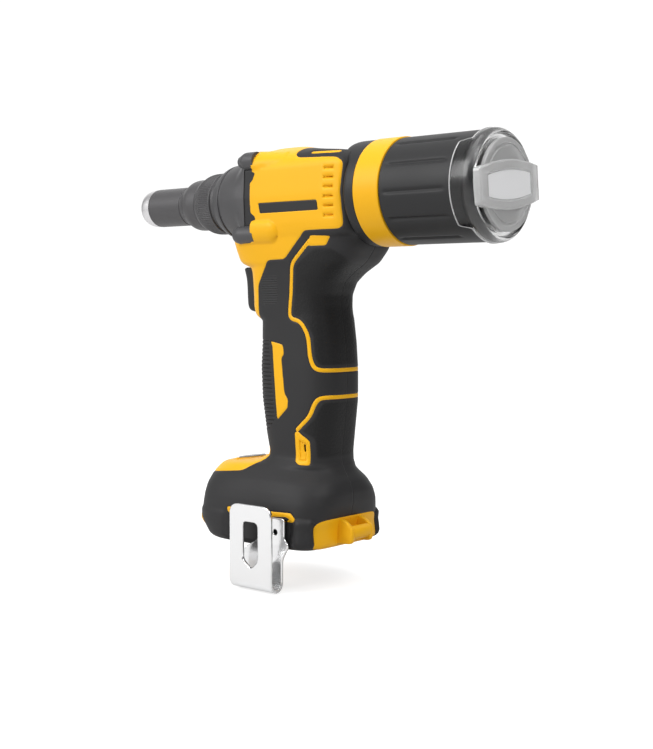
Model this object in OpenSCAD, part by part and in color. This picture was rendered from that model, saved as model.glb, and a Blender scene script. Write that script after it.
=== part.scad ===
// Battery rivet tool, bare, with a belt hook and a twist-off mandrel container.
// The barrel lies along X with the nose towards -X, the handle hangs down, and the
// origin is the mouth of the nosepiece bore. All lengths are in millimetres.

/* [Nose] */
// Bore of the nosepiece, for the mandrel
nose_bore_d = 3.2; // [2.4:0.1:3.6]
// Diameter of the bright nosepiece
nosepiece_d = 26; // [23:0.2:28]
// Length of nosepiece in front of the sleeve
nosepiece_l = 10; // [8:0.5:12]
// Diameter of the slim front of the nose sleeve
sleeve_d = 25.8; // [25:0.2:28]
// Length of the slim front of the nose sleeve
sleeve_l = 34.8; // [32:0.2:38]
// Diameter of the thick part of the nose sleeve
step_d = 33.8; // [33:0.2:36]
// Length of the thick part in front of the knurled ring
step_l = 15.9; // [13:0.1:18]
// How far the knurled ring stands over the sleeve
knurl_rise = 3.2; // [2.2:0.1:3.6]
// Length of the knurled ring
knurl_l = 20.3; // [17:0.1:23]
// Diameter of the plain collar behind the knurled ring
collar_d = 48; // [44:0.5:52]
// Length of the plain collar
collar_l = 10; // [8:0.5:12]
// Length of the cast nose cover
cover_l = 27.5; // [26:0.5:30]

/* [Body] */
// Width of the yellow body
body_w = 56; // [55:0.5:62]
// Height of the body's top above the barrel axis
body_top = 32; // [31:0.5:36]
// Number of cooling slots on each side
vent_n = 6; // [4:1:7]
// Thickness of the soft black skin
skin_t = 1.6; // [1.2:0.1:2]
// Thickness of the shell under the skin
wall_t = 2.4; // [2:0.1:3]

/* [Drive] */
// Pulling stroke of the jaws
stroke = 25; // [20:0.5:28]
// Lead of the screw for each turn of the nut
screw_lead = 5; // [4:0.5:6]
// Diameter of the hollow screw
screw_d = 14; // [13:0.2:15]
// Module of the planetary gears
gear_m = 1; // [0.96:0.01:1.02]
// Teeth on the motor pinion
sun_n = 12; // [12:6:12]
// Teeth on each planet
planet_n = 15; // [15:6:15]
// Length of the motor's stator
stator_l = 25; // [20:0.5:30]
// Diameter of the rotor
rotor_d = 26.4; // [24:0.2:28]
// Travel of a jaw along its cone, from open to closed
jaw_travel = 2.5; // [1.5:0.1:2.8]

/* [Mandrel container] */
// Diameter of the yellow ring
ring_d = 64; // [63:0.5:68]
// Length of the yellow ring
ring_l = 18.9; // [17:0.1:22]
// Length of the black container barrel
barrel_l = 56.5; // [50:0.5:64]
// Length of the clear cap behind the barrel
cap_l = 7; // [6:0.5:9]
// Turn of the grip bar about the barrel's axis
bar_turn = 6; // [-20:1:20]
// Length of the grip bar across the cap
bar_l = 62; // [54:0.5:62]
// Height of the grip bar
bar_h = 28; // [22:0.5:30]
// How far the grip bar stands out
bar_out = 4.6; // [3.8:0.2:8]
// Turn that frees the container
twist = 35; // [25:1:40]

/* [Handle] */
// Width of the grip
grip_w = 41; // [40:0.5:46]
// Depth of the grip at the palm swell
grip_d = 59; // [57:0.5:64]
// Depth of the trigger chin below the barrel axis
chin_drop = 41; // [40:0.5:44]
// Length of the handle from the chin to the foot
handle_l = 122; // [118:1:130]
// Width of the trigger
trigger_w = 19; // [16:0.5:20]
// Travel of the trigger
trigger_travel = 6; // [4:0.5:7]

/* [Foot] */
// Width of the foot
foot_w = 75; // [74:0.5:80]
// Height of the foot
foot_h = 51; // [50:0.5:56]
// Width of the battery bay between the side walls
bay_w = 57; // [54:0.5:58]
// Width of the mouth between the battery rails
rail_mouth = 47; // [44:0.5:50]
// Width of the lanyard gap
loop_gap = 15; // [12:0.5:17]

/* [Belt hook] */
// Width of the hook
hook_w = 33; // [30:0.5:36]
// Thickness of the sheet
hook_t = 2; // [1.6:0.1:2.4]
// Clear gap between the two legs
hook_gap = 9.2; // [8:0.2:11]
// Height of the outer leg above the bend
hook_h = 45; // [40:0.5:48]

/* [Hidden] */
$fn = 40;
eps = 0.01;

// Clearances: between bodies that move apart, for running fits, for glued or pressed joints
free_gap = 0.3;
run_gap = 0.05;
seat_gap = 0.02;
// Half the parting gap between the two housing halves, and the seam round the skin
split_gap = 0.05;
seam = 0.2;

yellow = [0.98, 0.73, 0.12];
black = [0.16, 0.16, 0.165];
casting = [0.33, 0.33, 0.34];
steel = [0.80, 0.80, 0.82];
copper = [0.72, 0.42, 0.22];
clear = [0.86, 0.90, 0.94, 0.45];

// Stations along the barrel, from the mouth of the nosepiece
x_sleeve = nosepiece_l;
x_step = x_sleeve + sleeve_l;
x_knurl = x_step + step_l;
x_collar = x_knurl + knurl_l;
x_cover = x_collar + collar_l;
x_body = x_cover + cover_l;
knurl_d = step_d + 2 * knurl_rise;

// Nut and its front bearing, seated against the flange of the sleeve
cover_wall = 3;
flange_l = 4;
bearing_w = 10;
x_flange = x_cover + cover_wall;
x_brg = x_flange + flange_l;
nut_lead_in = 9.5;
x_nut = x_brg - nut_lead_in;
nut_thread = 19.5;
nut_r = 14;
x_screw_end = x_nut + nut_thread;

// Jaw case, which stops just short of the nut at full stroke
case_r = 8.9;
case_stop = 1.5;
x_case = x_sleeve + 14;
x_case_end = x_nut - case_stop - stroke;

// Planetary stage and motor, behind the end of the screw at full stroke
screw_stop = 3.5;
gear_w = 9.5;
motor_brg_w = 6;
fan_w = 6;
x_rotor = x_screw_end + stroke + screw_stop;
x_gear = x_rotor + 1;
x_gear_end = x_gear + gear_w;
x_mbrg = x_gear_end + 3;
x_stator = x_mbrg + motor_brg_w + 1.5;
x_stator_end = x_stator + stator_l;
x_fan = x_stator_end + 2.5;
x_rbrg = x_fan + fan_w + 1.5;
x_rear = x_rbrg + motor_brg_w + 0.5;

// Stations of the container
rear_collar_l = 8.1;
x_ring = x_rear + rear_collar_l;
x_barrel = x_ring + ring_l;
x_cap = x_barrel + barrel_l;
x_end = x_cap + cap_l;

// Levels of the handle
z_chin = -chin_drop;
z_foot = z_chin - handle_l;
z_base = z_foot - foot_h;
half_body = body_w / 2;
half_grip = grip_w / 2;
half_foot = foot_w / 2;
x_grip = x_body - 1.5;
x_palm = x_grip + grip_d;
x_toe = x_body - 41;
x_heel = x_body + 62.5;
core_r = min(half_body - 2.3, 25.7);

// Sections of the moulding from top to base: level, front, back, half width, corner power
body_rows = [
    [body_top, x_body + 5.5, x_rear - 41, half_body - 19, 4],
    [body_top - 0.8, x_body + 3, x_rear - 29, half_body - 13, 5],
    [body_top - 3.5, x_body + 1.5, x_rear - 9, half_body - 7, 6],
    [body_top - 5.5, x_body + 1, x_rear, half_body - 5, 7],
    [body_top - 8, x_body + 0.5, x_rear, half_body - 3.2, 8],
    [body_top - 15, x_body, x_rear, half_body - 0.8, 9],
    [0, x_body, x_rear, half_body, 9],
    [-17, x_body, x_rear, half_body - 0.8, 9],
    [-23.5, x_body, x_rear, half_body - 2, 8]];
chin_rows = [
    [-24.5, x_body - 21.5, x_rear, half_body - 2.5, 4.5],
    [-32, x_body - 19.5, x_rear - 1.5, half_body - 3.2, 4.2],
    [z_chin + 3, x_body - 17.5, x_rear - 6, half_body - 4, 4],
    [z_chin + 0.5, x_body - 14.5, x_rear - 8.5, half_body - 4.3, 4],
    [z_chin - 0.5, x_body - 11.5, x_rear - 10, half_grip + 2.9, 3.6],
    [z_chin - 5, x_body - 10.5, x_rear - 17.5, half_grip + 2.2, 3.5]];
grip_rows = [
    [z_chin - 11, x_grip - 8.4, x_palm - 1.5, half_grip + 1.5, 3.4],
    [z_chin - 19, x_grip - 7.8, x_palm - 4.7, half_grip + 0.7, 3.3],
    [z_chin - 27, x_grip - 7, x_palm - 4.7, half_grip + 0.3, 3.3],
    [z_chin - 31.5, x_grip - 4.5, x_palm - 4, half_grip + 0.1, 3.3],
    [z_chin - 34.5, x_grip + 1.5, x_palm - 3.4, half_grip, 3.3],
    [z_chin - 0.40 * handle_l, x_grip + 1, x_palm - 1.2, half_grip - 0.2, 3.3],
    [z_chin - 0.53 * handle_l, x_grip, x_palm, half_grip, 3.3],
    [z_chin - 0.69 * handle_l, x_grip + 1, x_palm, half_grip, 3.3],
    [z_chin - 0.85 * handle_l, x_grip + 4.5, x_palm - 2.5, half_grip - 0.2, 3.3],
    [z_foot + 5, x_grip + 7.5, x_palm - 4, half_grip - 0.3, 3.2],
    [z_foot + 1, x_grip + 7, x_palm - 4, half_grip + 0.1, 3.2]];
foot_rows = [
    [z_foot - 1, x_toe + 28.5, x_heel - 8.4, half_foot - 15.5, 2.8],
    [z_foot - 4, x_toe + 17.5, x_heel - 7.5, half_foot - 13.5, 2.8],
    [z_foot - 8, x_toe + 9.5, x_heel - 5.5, half_foot - 10, 3],
    [z_foot - 13, x_toe + 2.5, x_heel - 2, half_foot - 6, 3.4],
    [z_foot - 19, x_toe, x_heel, half_foot - 3, 3.8],
    [z_foot - 25, x_toe, x_heel, half_foot - 1.2, 4.2],
    [z_foot - 32, x_toe + 0.5, x_heel - 1.5, half_foot, 4.6],
    [z_base + 11, x_toe + 1.5, x_heel - 3.5, half_foot, 5],
    [z_base, x_toe + 12.5, x_heel - 4, half_foot, 6]];
rows = concat(body_rows, chin_rows, grip_rows, foot_rows);
row_seg = 8;

function clamp01(v) = max(0, min(1, v));
function signed_pow(v, p) = sign(v) * pow(abs(v), p);

// Level of a row of a loft moved inwards by d; its top sinks and its base runs out
function inner_z(z, d) = z - d * clamp01((z - 10) / 22) - abs(d) * clamp01((z_base + 8 - z) / 8);

// Half outline of one row on the -Y side, from its front point to its back point
function half_section(r, d) = [for (i = [0:row_seg])
    let (t = 180 - 180 * i / row_seg, p = 2 / r[4])
    [(r[1] + r[2]) / 2 + ((r[2] - r[1]) / 2 - d) * signed_pow(cos(t), p),
     -max(split_gap, (r[3] - d) * pow(abs(sin(t)), p)), inner_z(r[0], d)]];

// Half of the moulding as one closed loft, moved inwards by d
module half_loft(d) {
    m = row_seg + 1;
    last = len(rows) - 1;
    pts = [for (r = rows) each half_section(r, d)];
    side = [for (i = [0:last - 1], j = [0:row_seg - 1])
        each [[i * m + j, i * m + j + 1, (i + 1) * m + j + 1],
              [i * m + j, (i + 1) * m + j + 1, (i + 1) * m + j]]];
    parting = [for (i = [0:last - 1])
        each [[i * m + row_seg, i * m, (i + 1) * m], [i * m + row_seg, (i + 1) * m, (i + 1) * m + row_seg]]];
    caps = [[for (j = [row_seg:-1:0]) j], [for (j = [0:row_seg]) last * m + j]];
    polyhedron(pts, concat(side, parting, caps), convexity = 8);
}

// Half width of the moulding at a place on its side, for seats and screw heads
function row_at(z) = [for (i = [0:len(rows) - 2]) if (rows[i][0] >= z && rows[i + 1][0] <= z)
    let (f = (rows[i][0] - z) / (rows[i][0] - rows[i + 1][0])) rows[i] * (1 - f) + rows[i + 1] * f][0];
function side_y(x, z) = let (r = row_at(z), u = abs(x - (r[1] + r[2]) / 2) / ((r[2] - r[1]) / 2))
    r[3] * pow(max(0, 1 - pow(min(1, u), r[4])), 1 / r[4]);

// Solids of revolution and plain bars along X
module rod(x0, x1, r) { translate([x0, 0, 0]) rotate([0, 90, 0]) cylinder(h = x1 - x0, r = r); }
module taper(x0, x1, r0, r1) { translate([x0, 0, 0]) rotate([0, 90, 0]) cylinder(h = x1 - x0, r1 = r0, r2 = r1); }
module pipe(x0, x1, r, bore) {
    difference() { rod(x0, x1, r); rod(x0 - 1, x1 + 1, bore); }
}
module bar_y(x, z, y0, y1, r) { translate([x, y1, z]) rotate([90, 0, 0]) cylinder(h = y1 - y0, r = r); }
module box(x0, x1, y0, y1, z0, z1) { translate([x0, y0, z0]) cube([x1 - x0, y1 - y0, z1 - z0]); }
module prism_y(y0, y1) { translate([0, y1, 0]) rotate([90, 0, 0]) linear_extrude(y1 - y0) children(); }
module prism_x(x0, x1) { translate([x0, 0, 0]) rotate([90, 0, 90]) linear_extrude(x1 - x0) children(); }
module wedge_x(x0, x1, r, half) {
    prism_x(x0, x1) polygon([[0, 0], [-r * cos(half), -r * sin(half)], [-r / cos(half / 2), -r * sin(half / 2)],
        [-r / cos(half / 2), r * sin(half / 2)], [-r * cos(half), r * sin(half)]]);
}

// A band of even width along a path in the side view
module ribbon(path, w) {
    for (i = [0:len(path) - 2]) hull() {
        translate(path[i]) circle(d = w, $fn = 8);
        translate(path[i + 1]) circle(d = w, $fn = 8);
    }
}

// Where the yellow shell shows on the side of the tool, in the side view. The outlines
// in the handle were drawn for the length drawn_l, and they stretch with the handle
line_w = 2.4;
drawn_l = 122;
function down(d) = z_chin - d * (handle_l / drawn_l);
panel_zone = [[x_body - 45, body_top + 8], [x_rear - 39, body_top + 8], [x_rear - 42, body_top - 5],
    [x_rear - 38, body_top - 7.2], [x_rear - 9, body_top - 9.4], [x_rear - 4.5, body_top - 12],
    [x_rear - 3.8, 16], [x_rear - 5, 0.8], [x_rear - 3.8, -16], [x_rear - 4, -19.5], [x_rear - 6.5, -21.4],
    [x_rear - 33, -21.5], [x_body + 29.5, z_chin + 2.6], [x_body + 15, z_chin + 2.2],
    [x_body + 3.8, z_chin - 13.8], [x_body + 3, z_chin - 32.5], [x_body + 0.5, z_chin - 35.5],
    [x_body - 45, z_chin - 35.5]];
upper_tab = [[x_rear - 29, z_chin + 16.4], [x_rear - 14.2, z_chin + 16], [x_rear - 18, z_chin + 10.1],
    [x_rear - 31.4, z_chin + 10]];
upper_line = [[x_rear - 30, z_chin + 13], [x_body + 34.8, z_chin - 0.5], [x_body + 30.3, z_chin - 31.5],
    [x_body + 32, z_chin - 34.2], [x_body + 39, z_chin - 35.6], [x_body + 44.1, down(44)],
    [x_body + 45.8, down(59)], [x_body + 49, down(65.3)], [x_palm + 8, down(65.7)]];
lower_line = [[x_palm + 8, down(81.8)], [x_body + 51.5, down(82)], [x_body + 48.4, down(86)],
    [x_body + 45.4, down(94)], [x_body + 36.5, down(102.3)]];
lower_tab = [[x_body + 34.4, down(104)], [x_body + 35.4, down(119.5)], [x_body + 38.7, down(121)],
    [x_body + 45.3, down(121)], [x_body + 45.1, down(109)], [x_body + 37, down(103.5)]];
inlay = [[x_body + 14, down(48.2)], [x_body + 24.5, down(50.3)], [x_body + 25.6, down(56)],
    [x_body + 23.4, down(58.6)], [x_body + 26, down(80.2)], [x_body + 29, down(84.2)],
    [x_body + 28.5, down(89.3)], [x_body + 19.8, down(97.3)], [x_body + 15.7, down(51.3)]];
lamp_pad = [[x_toe - 8, z_foot + 8], [x_body + 10.5, z_foot + 8], [x_body + 11, z_foot],
    [x_body - 3.5, z_foot - 8.8], [x_body - 22, z_foot - 10.8], [x_body - 34.5, z_foot - 12.5],
    [x_toe - 8, z_foot - 15]];
heel_wall = [[x_heel - 6.6, z_base - 2], [x_heel - 6.6, z_base + 13.5], [x_heel - 3, z_base + 17.6],
    [x_heel + 9, z_base + 18.4], [x_heel + 9, z_base - 2]];
side_ledge = [[x_body - 5.5, z_base + 20], [x_body + 28.5, z_base + 20.5], [x_body + 46.5, z_base + 16],
    [x_body + 45.5, z_base + 14], [x_body + 28.5, z_base + 17.5], [x_body - 5.5, z_base + 17]];
toe_wall = [[x_toe - 8, z_base + 15], [x_toe + 4.5, z_base + 15], [x_toe + 10.5, z_base + 6],
    [x_toe + 13.5, z_base - 2], [x_toe - 8, z_base - 2]];

module yellow_zones(grow) {
    offset(delta = grow) {
        for (zone = [panel_zone, upper_tab, lower_tab, inlay, lamp_pad, heel_wall, side_ledge, toe_wall])
            polygon(zone);
        ribbon(upper_line, line_w);
        ribbon(lower_line, line_w);
    }
}

// Cast nose cover: four corner bosses on a domed flange
boss_y = 24.3;
boss_top = 22.8;
boss_low = -22.8;
boss_r = 5.6;
boss_l = 7.5;
boss_nose = 6;
bosses = [[-boss_y, boss_top], [boss_y, boss_top], [-boss_y, boss_low], [boss_y, boss_low]];
screw_r = 1.9;
head_r = 3.2;
head_h = 2.6;
dome_r = collar_d / 2 + 1;
dome_rise = 1.5;
dome_l = 7;

// Dome of the cover, grown by g where the chin of the shell clears it
module cover_dome(g) {
    taper(x_cover, x_cover + dome_l, dome_r + g, dome_r + dome_rise + g);
    taper(x_cover + dome_l, x_body, dome_r + dome_rise + g, dome_r + 2 * dome_rise + g);
}

// Parting screws along Y, placed in the side view, with their heads sunk into the right half
parting_screws = [[x_rear - 13, -33], [x_body - 8, -33], [x_body + 27, down(43)], [x_body + 27, down(85)],
    [x_body + 27, down(113)], [x_toe + 20, z_base + 30]];
parting_r = 1.5;
parting_head_r = 3;
parting_sink = 3;

// Trigger and its opening
trigger_top = z_chin - 1.5;
trigger_bottom = z_chin - 30;
trigger_back = x_body + 17;
x_switch = trigger_back + trigger_travel + 1.5;
plunger_r = 3;
plunger_z = (trigger_top + trigger_bottom) / 2;

// Battery bay, terminal block and electronics
bay_top = z_base + 14;
rail_h = 6;
bay_end = x_heel - 10;
tray_z = bay_top + 3;
block_x = x_body + 3.5;
block_l = 36;
block_w = 32;

// Lanyard loop at the heel
loop_out = 13.5;
loop_wall = 3;
loop_bar_r = 2.6;
loop_x = x_heel - 4;

// Belt hook on the left side of the foot
hook_x = x_body + 6.8;
hook_in = half_foot + 0.1;
hook_bend_r = hook_gap / 2 + hook_t;
hook_bend_z = z_base - 20.5;
hook_top = hook_bend_z + hook_h;
hook_tab_x = hook_x + 13.7;
hook_screw_x = hook_x + 18.7;
hook_screw_z = z_base + 11;
insert_r = 3;
insert_l = 8;
thread_r = 2;

// Leaf-shaped lamp lens on the pad in front of the handle
lens_x = x_toe + 15.5;
lens_z = z_foot - 4.7;
lens_l = 20;
lens_w = 7;
lens_t = 3.5;
lens_tilt = -22;
lens_gap = 0.12;

module leaf(grow) {
    r = (pow(lens_l / 2, 2) + pow(lens_w / 2, 2)) / lens_w;
    intersection() {
        translate([r - lens_w / 2, 0]) circle(r = r + grow);
        translate([lens_w / 2 - r, 0]) circle(r = r + grow);
    }
}
module lens_place() { translate([lens_x, 0, lens_z]) rotate([0, lens_tilt, 0]) children(); }

// Hollow of the handle, foot and battery bay, with pillars left for the screws
module housing_hollow() {
    difference() {
        union() {
            intersection() {
                half_loft(skin_t + wall_t);
                box(x_toe, x_rear, -half_foot, 0, z_foot + 4, -core_r - 3);
            }
            box(x_body + 12, x_palm - 10, -10, eps, z_foot - 20, z_foot + 6);
            box(x_toe + 12, x_heel - 12, 8 - half_foot, eps, tray_z, z_foot - 17);
        }
        for (p = parting_screws) bar_y(p[0], p[1], -half_foot, 1, parting_r + 2.6, $fn = 16);
    }
    rod(x_body - 30, x_rear + 1, core_r);
    box(x_body - 30, trigger_back + trigger_travel + 1, -trigger_w / 2 - free_gap, 1,
        trigger_bottom - free_gap, trigger_top + free_gap);
    box(x_toe - 5, bay_end, -bay_w / 2, 1, z_base + rail_h, bay_top);
    box(x_toe - 5, bay_end, -rail_mouth / 2, 1, z_base - 1, z_base + rail_h + eps);
    box(block_x - seat_gap, block_x + block_l + seat_gap, -block_w / 2 - seat_gap, 1, bay_top - 1, tray_z + 1);
    lens_place() translate([0, 0, -lens_t]) linear_extrude(lens_t + 6) leaf(lens_gap);
}

// One half of the moulded shell, on the -Y side
module housing_half() {
    difference() {
        union() {
            half_loft(0);
            for (z = [boss_top, boss_low]) hull() {
                translate([x_body + 4.2, -boss_y, z]) rotate([0, -90, 0]) cylinder(h = 4.2, r = 5, $fn = 16);
                translate([x_body + 16, -boss_y + 1.5, z]) sphere(r = 4.2, $fn = 12);
            }
            prism_y(-loop_gap / 2 - loop_wall, -loop_gap / 2)
                polygon([[loop_x - 3, z_base + 1.5], [loop_x + loop_out, z_base + 3],
                    [loop_x + loop_out, z_base + 10.5], [loop_x + 2, z_base + 16.5], [loop_x - 3, z_base + 16.5]]);
            bar_y(loop_x + loop_out - 3.2, z_base + 9.5, -loop_gap / 2 - 1, -split_gap, loop_bar_r, $fn = 16);
        }
        difference() {
            half_loft(-0.6);
            half_loft(skin_t + seat_gap);
            prism_y(-half_foot - 20, 1) yellow_zones(0);
        }
        housing_hollow();
        cover_dome(run_gap * 3);
        translate([0, -boss_y, boss_low]) rod(x_body - boss_l - boss_nose - 1, x_body, boss_r + free_gap, $fn = 20);
        for (i = [0:vent_n - 1]) translate([0, 0, (i - (vent_n - 1) / 2) * 5.6 + 0.5]) hull()
            for (x = [x_rear - 15.8, x_rear - 10.4]) bar_y(x, 0, -half_body - 2, -core_r + 4, 1.5, $fn = 10);
        for (z = [boss_top, boss_low]) translate([x_body - 1, -boss_y, z]) rotate([0, 90, 0])
            cylinder(h = 12, r = screw_r + free_gap / 2, $fn = 16);
        for (p = parting_screws) bar_y(p[0], p[1], -11, 1, parting_r + free_gap / 2, $fn = 12);
        bar_y(hook_screw_x, hook_screw_z, -half_foot - 1, insert_l - half_foot + 0.6, insert_r + run_gap, $fn = 24);
    }
}

// The soft black skin of one half, moulded over the shell
module skin_half() {
    difference() {
        half_loft(0);
        half_loft(skin_t);
        prism_y(-half_foot - 20, 1) yellow_zones(seam);
        rod(x_body - 30, x_rear + 1, core_r);
        box(x_toe - 5, bay_end, -bay_w / 2, 1, z_base - 1, bay_top);
        bar_y(hook_screw_x, hook_screw_z, -half_foot - 1, insert_l - half_foot + 0.6, insert_r + run_gap, $fn = 24);
    }
}

module housing_left() { color(yellow) housing_half(); }
module housing_right() {
    color(yellow) difference() {
        mirror([0, 1, 0]) housing_half();
        for (p = parting_screws) {
            y = side_y(p[0], p[1]);
            bar_y(p[0], p[1], -1, y + 1, parting_r + free_gap / 2, $fn = 12);
            bar_y(p[0], p[1], y - parting_sink - head_h, y + 8, parting_head_r + free_gap / 2, $fn = 14);
        }
    }
}
module skin_half_right() {
    difference() {
        mirror([0, 1, 0]) skin_half();
        for (p = parting_screws)
            bar_y(p[0], p[1], 8, side_y(p[0], p[1]) + 8, parting_head_r + free_gap / 2, $fn = 14);
    }
}
// The skin of the foot is a bumper of its own, split from the grip at the crease above the foot
module above_foot() { box(0, x_end, -half_foot - 20, half_foot + 20, z_foot + seat_gap, body_top + 20); }
module below_grip() { box(0, x_end, -half_foot - 20, half_foot + 20, z_base - 20, z_foot - seat_gap); }
module skin_left() { color(black) intersection() { skin_half(); above_foot(); } }
module skin_right() { color(black) intersection() { skin_half_right(); above_foot(); } }
module foot_skin_left() { color(black) intersection() { skin_half(); below_grip(); } }
module foot_skin_right() { color(black) intersection() { skin_half_right(); below_grip(); } }

module nose_cover() {
    color(casting) difference() {
        union() {
            cover_dome(0);
            hull() {
                box(x_body - boss_l - boss_nose, x_body - boss_l, 6 - boss_y, boss_y - 6, boss_low + 5, boss_top - 3);
                box(x_body - boss_l, x_body, -boss_y - 1.5, boss_y + 1.5, boss_low - 0.3, boss_top + 3.5);
            }
            for (b = bosses) translate([0, b[0], b[1]]) {
                rod(x_body - boss_l, x_body, boss_r);
                taper(x_body - boss_l - boss_nose, x_body - boss_l, head_r + 0.8, boss_r);
            }
        }
        rod(x_cover - 1, x_flange + 1, step_d / 2 + seat_gap);
        rod(x_flange - seat_gap, x_body + 1, nut_r + 7 + seat_gap);
        rod(x_brg + bearing_w, x_body + 1, nut_r + 9);
        for (b = bosses) translate([0, b[0], b[1]]) {
            rod(x_body - boss_l - boss_nose - 5, x_body + 1, screw_r + run_gap);
            rod(x_body - boss_l - boss_nose - 5, x_body - boss_l + head_h, head_r + run_gap);
        }
    }
}
module cover_screws() {
    color(steel) for (b = bosses) translate([0, b[0], b[1]]) difference() {
        union() {
            rod(x_body - boss_l + 0.3, x_body - boss_l + head_h, head_r);
            rod(x_body - boss_l + head_h - eps, x_body + 9, screw_r);
        }
        translate([x_body - boss_l, 0, 0]) rotate([0, 90, 0]) cylinder(h = 1.8, d = 3.2, $fn = 6);
    }
}

// Stepped nose sleeve with the bore that guides the jaw case and its keyway
key_w = 2.7;
key_top = 10.3;
key_l = 8;
x_key = x_case + 22;
module nose_sleeve() {
    color(black) difference() {
        union() {
            taper(x_sleeve, x_sleeve + 0.8, sleeve_d / 2 - 0.8, sleeve_d / 2);
            rod(x_sleeve + 0.8, x_step + 1, sleeve_d / 2);
            taper(x_step, x_step + 1, step_d / 2 - 1, step_d / 2);
            rod(x_step + 1, x_flange, step_d / 2);
            rod(x_flange - eps, x_brg, nut_r + 7);
        }
        rod(x_sleeve - 1, x_brg, shank_r + seat_gap);
        rod(x_sleeve + shank_l + 0.5, x_brg + 1, case_r + 0.1);
        rod(x_nut - free_gap, x_brg + 1, nut_r + free_gap);
        box(x_key - 4, x_nut, -key_w / 2 - free_gap, key_w / 2 + free_gap, 0, key_top + free_gap);
    }
}
module knurled_ring() {
    teeth = 72;
    depth = 0.5;
    color(black) difference() {
        union() {
            prism_x(x_knurl, x_collar - 5) polygon([for (i = [0:2 * teeth - 1])
                let (a = 180 * i / teeth, r = knurl_d / 2 - (i % 2) * depth) [r * cos(a), r * sin(a)]]);
            rod(x_knurl + 1, x_collar, knurl_d / 2 - 1.4 * depth);
        }
        rod(x_knurl - 1, x_collar + 1, step_d / 2 + seat_gap);
    }
}
module front_collar() {
    color(casting) difference() {
        union() {
            taper(x_collar + 0.6, x_collar + 2, collar_d / 2 - 1.4, collar_d / 2);
            rod(x_collar + 2, x_cover, collar_d / 2);
        }
        rod(x_collar - 1, x_cover + 1, step_d / 2 + seat_gap);
    }
}

// Nosepiece: bright cap, threaded shank and a tail that presses the jaws open
shank_r = 7.4;
shank_l = 10;
tail_r = 2.9;
cone_half = 12;
jaw_front = x_case + 4.5;
x_tail = jaw_front - 0.5;
module nosepiece() {
    // Rounded end in three tapers: place and radius as shares of the length and the radius
    dome = [[0, 0.6], [0.25, 0.85], [0.6, 0.97], [0.85, 1]];
    color(steel) difference() {
        union() {
            for (i = [0:len(dome) - 2]) taper(dome[i][0] * nosepiece_l, dome[i + 1][0] * nosepiece_l,
                dome[i][1] * nosepiece_d / 2, dome[i + 1][1] * nosepiece_d / 2);
            rod(dome[len(dome) - 1][0] * nosepiece_l, x_sleeve, nosepiece_d / 2);
            rod(x_sleeve - eps, x_sleeve + shank_l, shank_r);
            rod(x_sleeve, x_tail, tail_r);
        }
        rod(-1, x_tail + 1, nose_bore_d / 2);
    }
}

// Jaw case with its inner cone, the three jaws and the pusher behind them
cone_x = x_case + 3;
cone_r = 3.9;
jaw_l = 10;
bore_r = 7;
cone_end = cone_x + (bore_r - cone_r) / tan(cone_half);
spigot_r = 5.5;
spigot_l = 5;
module jaw_case() {
    color(steel) difference() {
        union() {
            rod(x_case, x_case_end, case_r);
            box(x_key, x_key + key_l, -key_w / 2, key_w / 2, 0, key_top);
        }
        rod(x_case - 1, x_case_end, tail_r + free_gap);
        taper(cone_x, cone_end, cone_r, bore_r);
        rod(cone_end - eps, x_case_end - spigot_l, bore_r);
        rod(x_case_end - spigot_l - 1, x_case_end + 1, spigot_r + seat_gap);
    }
}
// A jaw is drawn closed, then set back along its cone to rest open
module jaw(n) {
    closed_r = 1.2;
    flank = 0.62;
    r0 = cone_r + (jaw_front - cone_x) * tan(cone_half) - run_gap;
    r1 = r0 + jaw_l * tan(cone_half);
    color(steel) rotate([120 * n, 0, 0])
        translate([jaw_travel * cos(cone_half), 0, jaw_travel * sin(cone_half)]) difference() {
            intersection() {
                taper(jaw_front, jaw_front + jaw_l, r0, r1);
                prism_x(jaw_front - 1, jaw_front + jaw_l + 1) polygon([[0, flank / sin(60)],
                    [bore_r * sin(60), bore_r * cos(60) + flank / sin(60)], [0, 2 * bore_r],
                    [-bore_r * sin(60), bore_r * cos(60) + flank / sin(60)]]);
            }
            rod(jaw_front - 2, jaw_front + jaw_l + 2, closed_r);
        }
}
module jaw_1() { jaw(0); }
module jaw_2() { jaw(1); }
module jaw_3() { jaw(2); }
x_pusher = jaw_front + jaw_l + jaw_travel * cos(cone_half) + free_gap;
module jaw_pusher() {
    color(steel) difference() {
        union() {
            rod(x_pusher, x_pusher + 5, bore_r - 1.6);
            rod(x_pusher + 4, x_case_end - spigot_l - 6, bore_r - 0.1);
        }
        rod(x_pusher - 1, x_case_end, 2);
    }
}

// Hollow screw pulled by the nut, and the tube that carries spent mandrels to the container
tube_r = 2.6;
tube_bore = 1.9;
module drive_screw() {
    color(steel) difference() {
        union() {
            rod(x_case_end - spigot_l, x_case_end + 1, spigot_r);
            rod(x_case_end, x_screw_end, screw_d / 2);
        }
        rod(x_case_end - spigot_l - 1, x_screw_end + 1, tube_r + 0.4);
    }
}
module mandrel_tube() { color(steel) pipe(x_screw_end - 8, x_ring + collar_spigot + 0.8, tube_r, tube_bore); }

// Planetary stage: the nut carries the planets, the rotor carries the sun
ring_n = sun_n + 2 * planet_n;
orbit = gear_m * (sun_n + planet_n) / 2;
pin_r = 2.2;
backlash = 0.24;
pressure = 25;
function inv_angle(a) = tan(a) * 180 / PI - a;
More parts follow.
